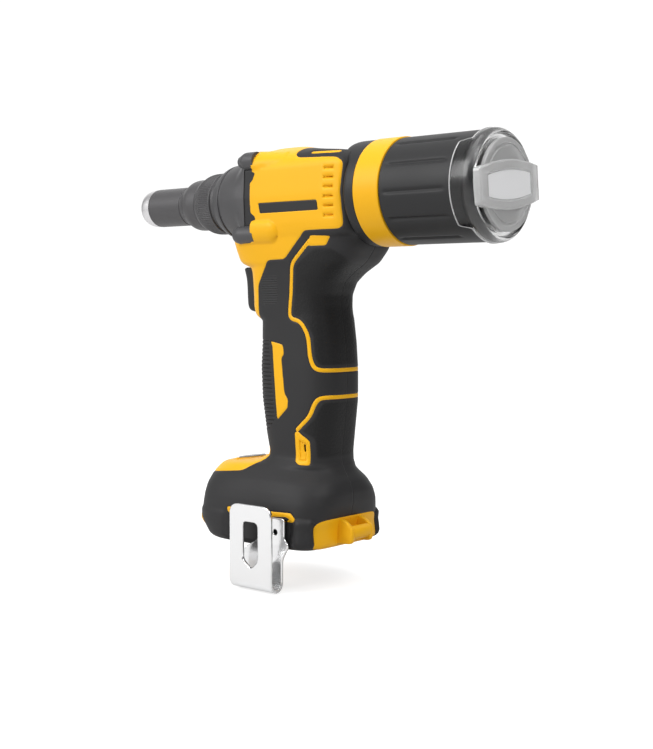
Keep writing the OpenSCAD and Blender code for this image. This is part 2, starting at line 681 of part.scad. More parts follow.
// Half the angle that a tooth takes at radius r, with its flank on the base circle's involute
function tooth_half(n, r, play) = let (rp = gear_m * n / 2, rb = rp * cos(pressure), a = acos(min(1, rb / max(r, rb))))
    90 / n - play / (2 * rp) * 180 / PI + inv_angle(pressure) - inv_angle(a);
module gear_outline(n, r_root, r_tip, play) {
    levels = 4;
    rs = [for (k = [0:levels]) r_root + (r_tip - r_root) * k / levels];
    polygon([for (i = [0:n - 1]) each concat(
        [for (k = [0:levels]) let (a = 360 * i / n - tooth_half(n, rs[k], play)) [rs[k] * cos(a), rs[k] * sin(a)]],
        [for (k = [levels:-1:0]) let (a = 360 * i / n + tooth_half(n, rs[k], play)) [rs[k] * cos(a), rs[k] * sin(a)]])]);
}
module pinion_outline(n) { gear_outline(n, gear_m * (n / 2 - 1.15), gear_m * (n / 2 + 0.8), backlash); }

module drive_nut() {
    carrier_r = orbit + 4;
    color(steel) difference() {
        union() {
            rod(x_nut, x_gear - 3, nut_r);
            rod(x_brg + bearing_w + free_gap, x_brg + bearing_w + 4, nut_r + 4);
            rod(x_gear - 7, x_gear - 3, carrier_r);
            for (k = [0:2]) rotate([120 * k, 0, 0]) translate([0, 0, orbit]) rod(x_gear - 4, x_gear_end - 0.2, pin_r);
        }
        rod(x_nut - 1, x_screw_end, screw_d / 2 + run_gap * 2);
        rod(x_screw_end - eps, x_gear, screw_d / 2 + 0.6);
    }
}
nut_rear_brg_w = 7;
x_brg2 = x_gear - 8 - nut_rear_brg_w;
module nut_bearings() {
    color(steel) {
        pipe(x_brg, x_brg + bearing_w, nut_r + 7, nut_r + run_gap);
        pipe(x_brg2, x_brg2 + nut_rear_brg_w, nut_r + 7, nut_r + run_gap);
    }
}
x_gear_case = x_brg2 - 3;
gear_case_r = core_r - 0.2;
ring_gear_r = gear_m * (ring_n / 2) + 3;
module gear_case() {
    color(casting) difference() {
        rod(x_gear_case, x_mbrg + motor_brg_w, gear_case_r);
        rod(x_gear_case - 1, x_brg2 + 1, nut_r + 4.5);
        rod(x_brg2, x_brg2 + nut_rear_brg_w, nut_r + 7 + seat_gap);
        rod(x_brg2 + nut_rear_brg_w - eps, x_gear - 0.5, orbit + 4.6);
        rod(x_gear - 0.5, x_gear_end + 1, ring_gear_r + seat_gap);
        rod(x_gear_end, x_mbrg + 1, 7);
        rod(x_mbrg, x_mbrg + motor_brg_w + 1, 9.5 + seat_gap);
    }
}
module ring_gear() {
    color(steel) difference() {
        rod(x_gear - 0.5, x_gear_end + 0.5, ring_gear_r);
        prism_x(x_gear - 1, x_gear_end + 1) rotate(90)
            gear_outline(ring_n, gear_m * (ring_n / 2 - 0.8), gear_m * (ring_n / 2 + 1.2), -backlash);
    }
}
module planet(k) {
    color(steel) rotate([120 * k, 0, 0]) translate([0, 0, orbit]) difference() {
        prism_x(x_gear, x_gear_end - 0.4) rotate(90) pinion_outline(planet_n);
        rod(x_gear - 1, x_gear_end + 1, pin_r + run_gap);
    }
}
module planet_1() { planet(0); }
module planet_2() { planet(1); }
module planet_3() { planet(2); }

// Hollow rotor with the sun pinion, its fan, the stator and the bearings
shaft_r = 4.5;
module rotor() {
    color(casting) difference() {
        union() {
            prism_x(x_gear, x_gear_end) rotate(90) pinion_outline(sun_n);
            rod(x_rotor, x_rbrg + motor_brg_w, shaft_r);
            rod(x_stator + 0.5, x_stator_end - 0.5, rotor_d / 2);
        }
        rod(x_rotor - 1, x_rear + 1, tube_r + 0.4);
    }
}
module fan() {
    blades = 11;
    hub_r = 9;
    fan_r = core_r - 2.5;
    color(black) difference() {
        union() {
            rod(x_fan, x_fan + fan_w, hub_r);
            rod(x_fan, x_fan + 1.2, fan_r);
            for (k = [0:blades - 1]) rotate([360 * k / blades, 0, 0])
                box(x_fan, x_fan + fan_w, -0.6, 0.6, hub_r - 1, fan_r - 0.5);
        }
        rod(x_fan - 1, x_fan + fan_w + 1, shaft_r + seat_gap);
    }
}
module stator() {
    slots = 6;
    yoke = 3.4;
    air = 0.7;
    tooth_w = 6.5;
    color(copper) difference() {
        union() {
            pipe(x_stator, x_stator_end, core_r - 0.2, core_r - yoke);
            for (k = [0:slots - 1]) rotate([360 * k / slots, 0, 0])
                box(x_stator, x_stator_end, -tooth_w / 2, tooth_w / 2, rotor_d / 2 - 1, core_r - 1);
        }
        rod(x_stator - 1, x_stator_end + 1, rotor_d / 2 + air);
    }
}
module motor_bearings() {
    color(steel) for (x = [x_mbrg, x_rbrg]) pipe(x, x + motor_brg_w, 9.5, shaft_r + run_gap);
}
module end_bell() {
    color(black) difference() {
        rod(x_rbrg - 0.4, x_rear, core_r - 0.2);
        rod(x_rbrg - 1, x_rbrg + motor_brg_w, 9.5 + seat_gap);
        rod(x_rbrg, x_rear + 1, 7);
        for (k = [0:5]) rotate([60 * k, 0, 0]) translate([0, 0, 16.5]) rod(x_rbrg - 1, x_rear + 1, 4);
    }
}

// Black collar, yellow bayonet ring and the twist-off container
ring_bore = ring_d / 2 - 3;
collar_spigot = 5;
lug_half = 8;
lug_r = ring_bore + 1.2;
x_lug = x_ring + 8;
lug_l = 4;
barrel_r = ring_d / 2 - 0.7;
barrel_bore = barrel_r - 3.3;
module rear_collar() {
    color(black) difference() {
        union() {
            rod(x_rear, x_ring - 1.2, barrel_r);
            rod(x_ring - 1.2 - eps, x_ring + collar_spigot, ring_bore - seat_gap);
        }
        rod(x_rear + 4, x_ring + collar_spigot + 1, ring_bore - 4);
        rod(x_rear - 1, x_ring, tube_r + seat_gap);
    }
}
module yellow_ring() {
    color(yellow) difference() {
        rod(x_ring - 1.2 + seat_gap, x_barrel, ring_d / 2);
        rod(x_ring - 2, x_barrel + 1, ring_bore);
        for (k = [0:2]) rotate([120 * k, 0, 0]) {
            intersection() {
                rod(x_lug - free_gap, x_lug + lug_l + free_gap, lug_r + free_gap);
                rotate([twist / 2, 0, 0]) wedge_x(x_ring, x_barrel, ring_d, lug_half + twist / 2 + 1);
            }
            intersection() {
                rod(x_lug, x_barrel + 1, lug_r + 2 * free_gap);
                rotate([twist, 0, 0]) wedge_x(x_ring, x_barrel + 1, ring_d, lug_half + 0.6);
            }
        }
    }
}
tongue_half = 48;
tongue_l = 7.5;
skirt_r = ring_d / 2 - 2.3;
module container_barrel() {
    groove_n = 12;
    color(black) difference() {
        union() {
            pipe(x_ring + collar_spigot + free_gap, x_barrel + free_gap + 3, ring_bore - free_gap, ring_bore - 3.2);
            pipe(x_barrel + free_gap, x_cap, barrel_r, barrel_bore);
            pipe(x_barrel + free_gap, x_barrel + free_gap + 3, barrel_r, ring_bore - 3.2);
            for (k = [0:2]) rotate([120 * k, 0, 0]) intersection() {
                pipe(x_lug, x_lug + lug_l, lug_r, ring_bore - 2);
                wedge_x(x_ring, x_barrel, ring_d, lug_half);
            }
        }
        for (side = [0, 180]) rotate([side, 0, 0]) intersection() {
            pipe(x_cap - tongue_l - 0.2, x_cap + 1, ring_d, skirt_r - seat_gap);
            wedge_x(x_ring, x_cap + 2, 2 * ring_d, tongue_half + 0.3);
        }
        for (k = [0:groove_n - 1]) rotate([360 * k / groove_n + 5, 0, 0])
            translate([0, -barrel_r - 0.5, 0]) rod(x_barrel + 5, x_cap - tongue_l - 4, 1.3);
    }
}
module bar_outline(inset) {
    crown = 110;
    intersection() {
        square([bar_l - 2 * inset, bar_h - 2 * inset], center = true);
        for (s = [-1, 1]) translate([0, s * (bar_h / 2 - crown)]) circle(r = crown - inset);
    }
}
module container_cap() {
    lip = 3.5;
    disc_r = ring_d / 2 - 6;
    disc_out = 3.3;
    rim_r = ring_d / 2 - 2.5;
    face_groove_r = disc_r - 4;
    color(clear) difference() {
        union() {
            difference() {
                union() {
                    rod(x_cap + seat_gap, x_end - lip, ring_d / 2);
                    taper(x_end - lip, x_end - lip / 2, ring_d / 2, ring_d / 2 - 0.8);
                    taper(x_end - lip / 2, x_end, ring_d / 2 - 0.8, rim_r);
                    rod(x_cap - 6, x_cap + 1, barrel_bore - run_gap);
                    for (side = [0, 180]) rotate([side, 0, 0]) intersection() {
                        pipe(x_cap - tongue_l, x_cap + 1, ring_d / 2, skirt_r);
                        wedge_x(x_ring, x_cap + 2, 2 * ring_d, tongue_half);
                    }
                }
                pipe(x_end - 2, x_end + 1, rim_r - 0.9, disc_r - 1);
            }
            difference() {
                union() {
                    rod(x_end - 2.5, x_end + disc_out - 0.7, disc_r);
                    taper(x_end + disc_out - 0.7, x_end + disc_out, disc_r, disc_r - 0.7);
                }
                pipe(x_end + disc_out - 0.6, x_end + disc_out + 1, face_groove_r + 0.8, face_groove_r - 0.8);
            }
            rotate([bar_turn, 0, 0]) prism_x(x_end - 2.8, x_end + bar_out) intersection() {
                bar_outline(0);
                circle(r = ring_d / 2 - 0.45);
            }
        }
        rod(x_cap - 7, x_end - 3, barrel_bore - 2.2);
        rod(x_cap, x_end + disc_out - 2.6, disc_r - 3.5);
        rotate([bar_turn, 0, 0]) prism_x(x_end + bar_out - 0.7, x_end + bar_out + 1) bar_outline(5.5);
    }
}

// Trigger: a lofted finger piece with a hollow front, and the switch behind it
trigger_rows = [[trigger_top, x_body - 22.5], [trigger_top - 2, x_body - 22], [trigger_top - 7, x_body - 20],
    [trigger_top - 13, x_body - 18.6], [trigger_top - 19, x_body - 17.8], [trigger_top - 24, x_body - 16.8],
    [trigger_bottom + 1.5, x_body - 15], [trigger_bottom, x_body - 12.5]];
module trigger() {
    n = 14;
    last = len(trigger_rows) - 1;
    nose = 12;
    // The front half of each row is a rounded end, the back half square
    function ring_of(r) = [for (i = [0:n]) let (t = 90 + 180 * i / n)
        [r[1] + nose + nose * signed_pow(cos(t), 0.62), trigger_w / 2 * signed_pow(sin(t), 0.62), r[0]]];
    pts = [for (r = trigger_rows) each concat(ring_of(r),
        [[trigger_back, -trigger_w / 2, r[0]], [trigger_back, trigger_w / 2, r[0]]])];
    m = n + 3;
    faces = [for (i = [0:last - 1], j = [0:m - 1]) let (k = (j + 1) % m)
        each [[i * m + j, i * m + k, (i + 1) * m + k], [i * m + j, (i + 1) * m + k, (i + 1) * m + j]]];
    caps = [[for (j = [m - 1:-1:0]) j], [for (j = [0:m - 1]) last * m + j]];
    color(black) {
        polyhedron(pts, concat(faces, caps), convexity = 4);
        translate([0, 0, plunger_z]) rod(trigger_back - 1, x_switch + 2, plunger_r);
    }
}
module switch_body() {
    lug_y = side_y(x_switch + 9, plunger_z) - skin_t - wall_t - 1.25;
    color(black) difference() {
        union() {
            box(x_switch, x_palm - 11, -12, 12, trigger_bottom + 1, trigger_top - 3);
            for (s = [-1, 1])
                bar_y(x_switch + 9, plunger_z, s > 0 ? 11 : -lug_y, s > 0 ? lug_y : -11, 4);
        }
        translate([0, 0, plunger_z]) rod(x_switch - 1, x_switch + trigger_travel + 3, plunger_r + free_gap);
    }
}

// Electronics in the foot and the battery terminals in the bay
module control_board() {
    board_t = 1.6;
    z0 = tray_z + 2 + seat_gap;
    color([0.12, 0.35, 0.2]) {
        box(x_toe + 16, x_heel - 16, 12 - half_foot, half_foot - 12, z0, z0 + board_t);
        box(x_toe + 30, x_heel - 40, -15, 15, z0 + board_t - eps, z0 + 8);
    }
}
module terminal_block() {
    slots = 5;
    color(black) difference() {
        union() {
            box(block_x, block_x + block_l, -block_w / 2, block_w / 2, bay_top - 6.5, tray_z + 2);
            box(block_x - 2, block_x + block_l + 2, -block_w / 2 - 2, block_w / 2 + 2, tray_z + seat_gap, tray_z + 2);
        }
        for (k = [0:slots - 1]) translate([0, (k - (slots - 1) / 2) * 6, 0])
            box(block_x - 1, block_x + block_l - 8, -0.8, 0.8, bay_top - 7, bay_top - 1.5);
    }
}
module led_lens() { color(clear) lens_place() translate([0, 0, seat_gap - lens_t]) linear_extrude(lens_t) leaf(0); }

// Bent steel belt hook, its screw and the threaded inserts on both sides
module belt_hook() {
    y_out = hook_in + hook_t + hook_gap;
    slot_w = hook_w * 0.39;
    corner = 6;
    color(steel) difference() {
        union() {
            box(hook_x, hook_x + hook_w, -y_out - hook_t, -y_out, hook_bend_z, hook_top - corner);
            box(hook_x + corner, hook_x + hook_w - corner, -y_out - hook_t, -y_out, hook_bend_z, hook_top);
            for (x = [hook_x + corner, hook_x + hook_w - corner])
                bar_y(x, hook_top - corner, -y_out - hook_t, -y_out, corner);
            intersection() {
                translate([0, -hook_in - hook_bend_r, hook_bend_z])
                    pipe(hook_x, hook_x + hook_w, hook_bend_r, hook_gap / 2);
                box(hook_x, hook_x + hook_w, -y_out - hook_t - 1, 1 - hook_in, hook_bend_z - 20, hook_bend_z + eps);
            }
            box(hook_x, hook_x + hook_w, -hook_in - hook_t, -hook_in, hook_bend_z, z_base - 2);
            box(hook_tab_x, hook_x + hook_w, -hook_in - hook_t, -hook_in, z_base - 3, hook_screw_z + 6.5);
        }
        hull() for (z = [hook_top - 14, hook_bend_z + 14])
            bar_y(hook_x + hook_w / 2, z, -y_out - hook_t - 1, -y_out + 1, slot_w / 2, $fn = 32);
        bar_y(hook_screw_x, hook_screw_z, -hook_in - hook_t - 1, 1 - hook_in, thread_r + 0.1);
        bar_y(hook_screw_x + 6.6, hook_screw_z - 2.5, -hook_in - hook_t - 1, 1 - hook_in, 1.4);
    }
}
module hook_screw() {
    y0 = hook_in + hook_t + seat_gap;
    color(steel) difference() {
        union() {
            bar_y(hook_screw_x, hook_screw_z, -y0 - 2.4, -y0, 3.6);
            bar_y(hook_screw_x, hook_screw_z, -y0 - eps, insert_l - half_foot - 0.4, thread_r - run_gap);
        }
        bar_y(hook_screw_x, hook_screw_z, -y0 - 3, -y0 - 1.2, 1.7, $fn = 6);
    }
}
module hook_inserts() {
    color(copper) for (s = [-1, 1]) difference() {
        bar_y(hook_screw_x, hook_screw_z, s < 0 ? -half_foot : half_foot - insert_l,
            s < 0 ? insert_l - half_foot : half_foot, insert_r);
        bar_y(hook_screw_x, hook_screw_z, s < 0 ? -half_foot - 1 : half_foot - insert_l - 1,
            s < 0 ? insert_l - half_foot + 1 : half_foot + 1, thread_r);
    }
}
module housing_screws() {
    color(steel) for (p = parting_screws) {
        y = side_y(p[0], p[1]) - parting_sink;
        bar_y(p[0], p[1], y - head_h + free_gap / 2, y, parting_head_r);
        bar_y(p[0], p[1], -9, y - head_h + 1, parting_r);
    }
}

housing_left();
housing_right();
skin_left();
skin_right();
foot_skin_left();
foot_skin_right();
nose_cover();
cover_screws();
nose_sleeve();
knurled_ring();
front_collar();
nosepiece();
jaw_case();
jaw_1();
jaw_2();
jaw_3();
jaw_pusher();
drive_screw();
drive_nut();
nut_bearings();
gear_case();
ring_gear();
planet_1();
planet_2();
planet_3();
rotor();
fan();
stator();
motor_bearings();
end_bell();
mandrel_tube();
rear_collar();
yellow_ring();
container_barrel();
container_cap();
trigger();
switch_body();
control_board();
terminal_block();
led_lens();
belt_hook();
hook_screw();
hook_inserts();
housing_screws();
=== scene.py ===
# %% [markdown]
# # A battery rivet tool, dressed for its picture
# The tool's solids come from the CAD frame, in metres, with the mouth of the nosepiece at the origin, the
# barrel along +X and the handle hanging down. This lesson puts the visible surfaces over them: the yellow
# shell, its soft black skin, the turned nose, the mandrel container and the belt hook. Each new surface is
# worked out with numpy in millimetres and moved to metres when it becomes a mesh.

# %% Load the frame and read its stations
import math

import bpy
import numpy as np
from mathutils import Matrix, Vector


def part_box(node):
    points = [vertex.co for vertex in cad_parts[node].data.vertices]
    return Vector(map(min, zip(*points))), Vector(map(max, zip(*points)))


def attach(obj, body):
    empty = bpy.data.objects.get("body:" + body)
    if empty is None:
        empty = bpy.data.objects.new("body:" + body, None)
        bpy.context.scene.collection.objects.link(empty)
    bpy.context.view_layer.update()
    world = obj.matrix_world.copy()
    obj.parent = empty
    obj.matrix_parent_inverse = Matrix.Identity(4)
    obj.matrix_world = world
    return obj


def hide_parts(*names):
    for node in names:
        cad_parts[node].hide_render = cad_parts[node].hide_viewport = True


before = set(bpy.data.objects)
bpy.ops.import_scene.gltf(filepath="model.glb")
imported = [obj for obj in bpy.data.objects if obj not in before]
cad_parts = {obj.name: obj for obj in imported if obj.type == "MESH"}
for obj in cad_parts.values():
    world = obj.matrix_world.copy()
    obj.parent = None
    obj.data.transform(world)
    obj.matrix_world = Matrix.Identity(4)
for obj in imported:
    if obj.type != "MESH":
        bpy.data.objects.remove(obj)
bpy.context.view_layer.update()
MM = 0.001


def low(node):
    """Lower corner of a node's box, in millimetres."""
    return np.array(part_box(node)[0]) / MM


def high(node):
    """Upper corner of a node's box, in millimetres."""
    return np.array(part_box(node)[1]) / MM


x_body = high("nose_cover")[0]
x_rear = low("rear_collar")[0]
z_base = low("housing_left")[2]
half_foot = -low("foot_skin_left")[1]
print("housing from", round(x_body, 1), "to", round(x_rear, 1), "foot at", round(z_base, 1))

# %% [markdown]
# ## Camera
# The photograph was taken from behind the tool's left side, a little above the barrel. The angles, distance
# and focal length come from fitting the round nose, the container and the foot to their outlines there.

# %% Camera
azimuth, elevation, distance = math.radians(40.377), math.radians(3.347), 0.78995
aim = np.array([0.160592, 0.0, -0.110038])
focal_px, image_h, sensor = 1264.92, 749, 36.0
back = np.array([math.sin(azimuth) * math.cos(elevation), -math.cos(azimuth) * math.cos(elevation),
                 math.sin(elevation)])
camera = bpy.data.objects.new("camera", bpy.data.cameras.new("camera"))
camera.data.sensor_width = sensor
camera.data.lens = focal_px / image_h * sensor
camera.location = aim + distance * back
camera.rotation_euler = Vector(-back).to_track_quat("-Z", "Y").to_euler()
bpy.context.scene.collection.objects.link(camera)
bpy.context.scene.camera = camera
print("camera", round(distance / MM), "mm from the middle of the tool")

# %% [markdown]
# ## Studio
# A catalogue picture is taken on a white sweep between large soft lights. Here the sky is plain white to the
# camera, and for light and reflections it is a dim room with three bright cards: behind the tool, at its
# left and overhead. Adding up such cards is simpler than modelling a room. Three soft lamps shape the near
# side and the top, and the standard view transform keeps the yellow as saturated as in the photograph.

# %% Studio


def math_node(tree, operation, a, b):
    """A Math node, each side a number or another node's socket."""
    node = tree.nodes.new("ShaderNodeMath")
    node.operation = operation
    for socket, value in zip(node.inputs, (a, b)):
        if isinstance(value, (int, float)):
            socket.default_value = value
        else:
            tree.links.new(value, socket)
    return node.outputs[0]


def sky_card(tree, middle, start, full, gain):
    """A bright card in the sky, eased in up to its gain between two cosines of the angle to its middle."""
    near = tree.nodes.new("ShaderNodeVectorMath")
    near.operation = "DOT_PRODUCT"
    near.inputs[1].default_value = tuple(middle)
    tree.links.new(tree.nodes.new("ShaderNodeTexCoord").outputs["Generated"], near.inputs[0])
    card = tree.nodes.new("ShaderNodeMapRange")
    card.interpolation_type = "SMOOTHSTEP"
    for socket, value in (("From Min", start), ("From Max", full), ("To Max", gain)):
        card.inputs[socket].default_value = value
    tree.links.new(near.outputs["Value"], card.inputs["Value"])
    return card.outputs["Result"]


bpy.context.scene.view_settings.view_transform = "Standard"
world = bpy.data.worlds.new("studio")
world.use_nodes = True
sky = world.node_tree
sky.nodes["Background"].inputs["Color"].default_value = (1.0, 1.0, 1.0, 1.0)
room_strength, left_side, overhead = 0.22, (-0.65, -0.76, 0.03), (0, 0, 1)
strength = room_strength
for card in ((-back, 0.50, 0.86, 0.84), (left_side, 0.72, 0.95, 0.75), (overhead, 0.25, 0.95, 0.55)):
    strength = math_node(sky, "ADD", strength, sky_card(sky, *card))
camera_ray = sky.nodes.new("ShaderNodeLightPath").outputs["Is Camera Ray"]
backdrop = math_node(sky, "MAXIMUM", strength, camera_ray)
sky.links.new(backdrop, sky.nodes["Background"].inputs["Strength"])
bpy.context.scene.world = world


def softbox(name, place, size, power):
    """A square area lamp at a place, turned to the middle of the tool."""
    lamp = bpy.data.objects.new(name, bpy.data.lights.new(name, "AREA"))
    lamp.data.size, lamp.data.energy = size, power
    lamp.location = place
    lamp.rotation_euler = Vector(aim - np.array(place)).to_track_quat("-Z", "Y").to_euler()
    bpy.context.scene.collection.objects.link(lamp)


lamps = (("key_lamp", (-0.5, -1.4, 0.8), 0.9, 17), ("rear_lamp", (1.5, -0.35, 1.2), 0.9, 13),
         ("top_lamp", (0.15, -0.1, 1.6), 1.0, 9))
for lamp in lamps:
    softbox(*lamp)
print("studio with", len(lamps), "lamps")

# %% [markdown]
# ## Mesh helpers
# A surface is a grid of points, a turned piece is a profile carried round the barrel axis, and both become
# meshes through one function that turns the faces outwards by the sign of the enclosed volume. Modelling by
# hand would do as well, but a formula keeps every size in sight and moves with the frame.

# %% Mesh helpers


def grid_quads(rows, cols, wrap=False):
    """Quads of a grid of points numbered row by row; with wrap, the last column joins the first."""
    i, j = np.meshgrid(np.arange(rows - 1), np.arange(cols if wrap else cols - 1), indexing="ij")
    k = (j + 1) % cols
    return np.stack([i * cols + j, i * cols + k, (i + 1) * cols + k, (i + 1) * cols + j], -1).reshape(-1, 4)


def halves(quads):
    """Each quad as two triangles."""
    return np.concatenate([quads[:, [0, 1, 2]], quads[:, [0, 2, 3]]])


def volume(points, faces):
    """Signed volume under the faces: the sum of a . (b x c) / 6 over their triangles."""
    tri = faces if faces.shape[1] == 3 else halves(faces)
    a, b, c = points[tri[:, 0]], points[tri[:, 1]], points[tri[:, 2]]
    return np.einsum("ij,ij->", a, np.cross(b, c)) / 6


def make_piece(name, points, faces, look, body="housing", slot=None, stands_for=(), sharp=40, turn=True,
               marks=None):
    """One mesh from points in millimetres, riding on a body, smooth but for edges sharper than the angle."""
    if turn and volume(points - points.mean(0), faces) < 0:
        faces = faces[:, ::-1]
    mesh = bpy.data.meshes.new(name)
    mesh.vertices.add(len(points))
    mesh.vertices.foreach_set("co", np.ascontiguousarray(points * MM, np.float32).ravel())
    mesh.loops.add(faces.size)
    mesh.loops.foreach_set("vertex_index", np.ascontiguousarray(faces, np.int32).ravel())
    mesh.polygons.add(len(faces))
    mesh.polygons.foreach_set("loop_start", np.arange(0, faces.size, faces.shape[1], dtype=np.int32))
    mesh.update(calc_edges=True)
    mesh.validate()
    for mark, values in (marks or {}).items():
        mesh.attributes.new(mark, "FLOAT", "POINT").data.foreach_set("value", values.astype(np.float32))
    mesh.polygons.foreach_set("use_smooth", np.ones(len(mesh.polygons), bool))
    if sharp:
        mesh.set_sharp_from_angle(angle=math.radians(sharp))
    mesh.materials.append(look)
    piece = bpy.data.objects.new(name, mesh)
    bpy.context.scene.collection.objects.link(piece)
    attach(piece, body)
    if stands_for:
        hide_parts(*stands_for)
    print(name, len(points), "points", len(faces), "faces")
    return piece


def wall(piece, thickness):
    """Gives an open sheet its wall, inwards from the drawn side."""
    solid = piece.modifiers.new("wall", "SOLIDIFY")
    solid.thickness, solid.offset, solid.use_even_offset = thickness * MM, -1, False
    return piece


# %% Paths


def steps_from(x, z, *steps):
    """An outline given by its steps (dx, dz) from one station."""
    return np.array([x, z]) + steps


def rounded(path, radius, closed=True, steps=6):
    """A path with each corner p replaced by the curve (1-t)^2 a + 2t(1-t) p + t^2 b, whose ends a and b lie
    on the two sides, a radius from p or half way along a shorter side."""
    path = np.asarray(path, float)
    radius = np.broadcast_to(radius, len(path)).astype(float)
    before, after = np.roll(path, 1, 0) - path, np.roll(path, -1, 0) - path
    reach = [np.minimum(radius, 0.5 * np.linalg.norm(d, axis=1))[:, None] for d in (before, after)]
    a = path + before / np.linalg.norm(before, axis=1)[:, None] * reach[0]
    b = path + after / np.linalg.norm(after, axis=1)[:, None] * reach[1]
    t = np.linspace(0, 1, steps)[:, None, None]
    curve = ((1 - t) ** 2 * a + 2 * t * (1 - t) * path + t ** 2 * b).transpose(1, 0, 2)
    if not closed:
        curve[0], curve[-1] = path[0], path[-1]
    return curve.reshape(-1, path.shape[1])


def stepped(path, step):
    """The same path with points no further than a step apart, corners kept."""
    path = np.asarray(path, float)
    run = np.r_[0, np.cumsum(np.maximum(np.linalg.norm(np.diff(path, axis=0), axis=1), 1e-9))]
    at = np.unique(np.round(np.r_[run, np.arange(0, run[-1], step)], 5))
    return np.column_stack([np.interp(at, run, col) for col in path.T])


# %% Turned and stacked skins


def turned(profile, count, bend=None):
    """A closed profile of (x, r) points carried round the barrel: (x, r cos a, r sin a). bend(x, r, a) gives
    new x and r where these change with the angle."""
    angle = np.linspace(0, 2 * np.pi, count, endpoint=False)
    profile = np.vstack([profile, profile[:1]])
    x, r = np.repeat(profile[:, :1], count, 1), np.repeat(profile[:, 1:], count, 1)
    a = np.broadcast_to(angle, x.shape)
    if bend:
        x, r = bend(x, r, a)
    points = np.stack([x, r * np.cos(a), r * np.sin(a)], -1)
    quads = grid_quads(len(profile) - 1, count, wrap=True)
    last = (len(profile) - 2) * count
    seam = np.arange(count)
    nxt = (seam + 1) % count
    quads = np.vstack([quads, np.stack([last + seam, last + nxt, nxt, seam], -1)])
    return points[:-1].reshape(-1, 3), quads


def welded(points, quads):
    """Triangles of the quads once points at one place have become one, so that poles and seams are closed."""
    places, where = np.unique(np.round(points, 5), axis=0, return_inverse=True)
    tris = where.reshape(-1)[halves(quads)]
    whole = (tris[:, 0] != tris[:, 1]) & (tris[:, 1] != tris[:, 2]) & (tris[:, 2] != tris[:, 0])
    return places, tris[whole]


def stacked(rings):
    """A closed skin over rings of equal count, (rings, count, 3), shut at both ends by their middles."""
    ends = [np.repeat(ring.mean(0)[None, None], rings.shape[1], 1) for ring in (rings[0], rings[-1])]
    rings = np.concatenate([ends[0], rings, ends[1]])
    return welded(rings.reshape(-1, 3), grid_quads(*rings.shape[:2], wrap=True))


def prism(outline, lo, hi, edge, steps=4):
    """A plate between two levels over a closed outline, its edges rolled by a quarter circle. Points are
    (u, v, level): at a turn t they lie edge (1 - sin t) inside the outline, along its own normals, and
    edge (1 - cos t) away from the level."""
    outline = np.asarray(outline, float)
    along = np.roll(outline, -1, 0) - np.roll(outline, 1, 0)
    inward = np.stack([-along[:, 1], along[:, 0]], 1) / np.linalg.norm(along, axis=1)[:, None]
    area = np.sum(outline[:, 0] * np.roll(outline[:, 1], -1) - np.roll(outline[:, 0], -1) * outline[:, 1])
    inward = inward * np.sign(area)
    turn = np.linspace(0, np.pi / 2, steps)
    inset = edge * (1 - np.sin(turn))
    drop = edge * (1 - np.cos(turn))
    level = np.r_[lo + drop, (hi - drop)[::-1]]
    shift = np.r_[inset, inset[::-1]]
    flat = outline[None] + shift[:, None, None] * inward[None]
    return np.concatenate([flat, np.broadcast_to(level[:, None, None], (*flat.shape[:2], 1))], 2)


# %% [markdown]
# ## Contour cuts
# Two materials meet along sharp outlines on one moulded surface. The surface is first a plain grid. Then it
# is cut along contour lines of a distance field, so that its edges follow the outline itself. The same cuts
# a little to each side let both materials roll down into the seam, as a real overmould does.

# %% Contour cuts


def cut(points, tris, column, level, snap=0.06):
    """Splits each triangle that the contour points[:, column] == level crosses. A corner nearer than snap
    moves onto the contour by value alone, so that no slivers appear."""
    s = points[:, column] - level
    s[np.abs(s) < snap] = 0
    points = points.copy()
    points[s == 0, column] = level
    sign = np.sign(s)[tris]
    crossing = (sign.min(1) < 0) & (sign.max(1) > 0)
    kept, hit, sign = tris[~crossing], tris[crossing], sign[crossing]
    has_zero = (sign == 0).any(1)
    lone_sign = -np.sign(sign.sum(1, keepdims=True))
    first = np.where(has_zero, np.argmax(sign == 0, 1), np.argmax(sign == lone_sign, 1))
    hit = np.take_along_axis(hit, (first[:, None] + np.arange(3)) % 3, 1)
    lone, pair = hit[~has_zero], hit[has_zero]
    ends = np.sort(np.concatenate([lone[:, [0, 1]], lone[:, [0, 2]], pair[:, [1, 2]]]), 1)
    if len(ends) == 0:
        return points, tris
    edges, where = np.unique(ends, axis=0, return_inverse=True)
    where = len(points) + where.reshape(-1)
    share = (s[edges[:, 0]] / (s[edges[:, 0]] - s[edges[:, 1]]))[:, None]
    fresh = points[edges[:, 0]] * (1 - share) + points[edges[:, 1]] * share
    fresh[:, column] = level
    p, q, m = where[:len(lone)], where[len(lone):2 * len(lone)], where[2 * len(lone):]
    a, b, c = lone.T
    d, e, f = pair.T
    new = [np.stack([a, p, q], 1), np.stack([p, b, c], 1), np.stack([p, c, q], 1),
           np.stack([d, e, m], 1), np.stack([d, m, f], 1)]
    return np.vstack([points, fresh]), np.vstack([kept] + new)


def used(points, tris):
    """Only the points that the triangles use."""
    keep, where = np.unique(tris, return_inverse=True)
    return points[keep], where.reshape(tris.shape)


# %% Distance fields


def gap_to(path, places, closed, batch=24):
    """Least distance from each place to the segments of a path, a batch of segments at a time."""
    a = np.asarray(path, float)
    b = np.roll(a, -1, 0) if closed else a[1:]
    a = a if closed else a[:-1]
    way = b - a
    least = np.full(len(places), 1e9)
    for start in range(0, len(a), batch):
        p, w = a[start:start + batch], way[start:start + batch]
        rel = places[:, None] - p
        t = np.clip((rel * w).sum(2) / np.maximum((w * w).sum(1), 1e-12), 0, 1)
        least = np.minimum(least, np.sqrt(((rel - t[..., None] * w) ** 2).sum(2)).min(1))
    return least


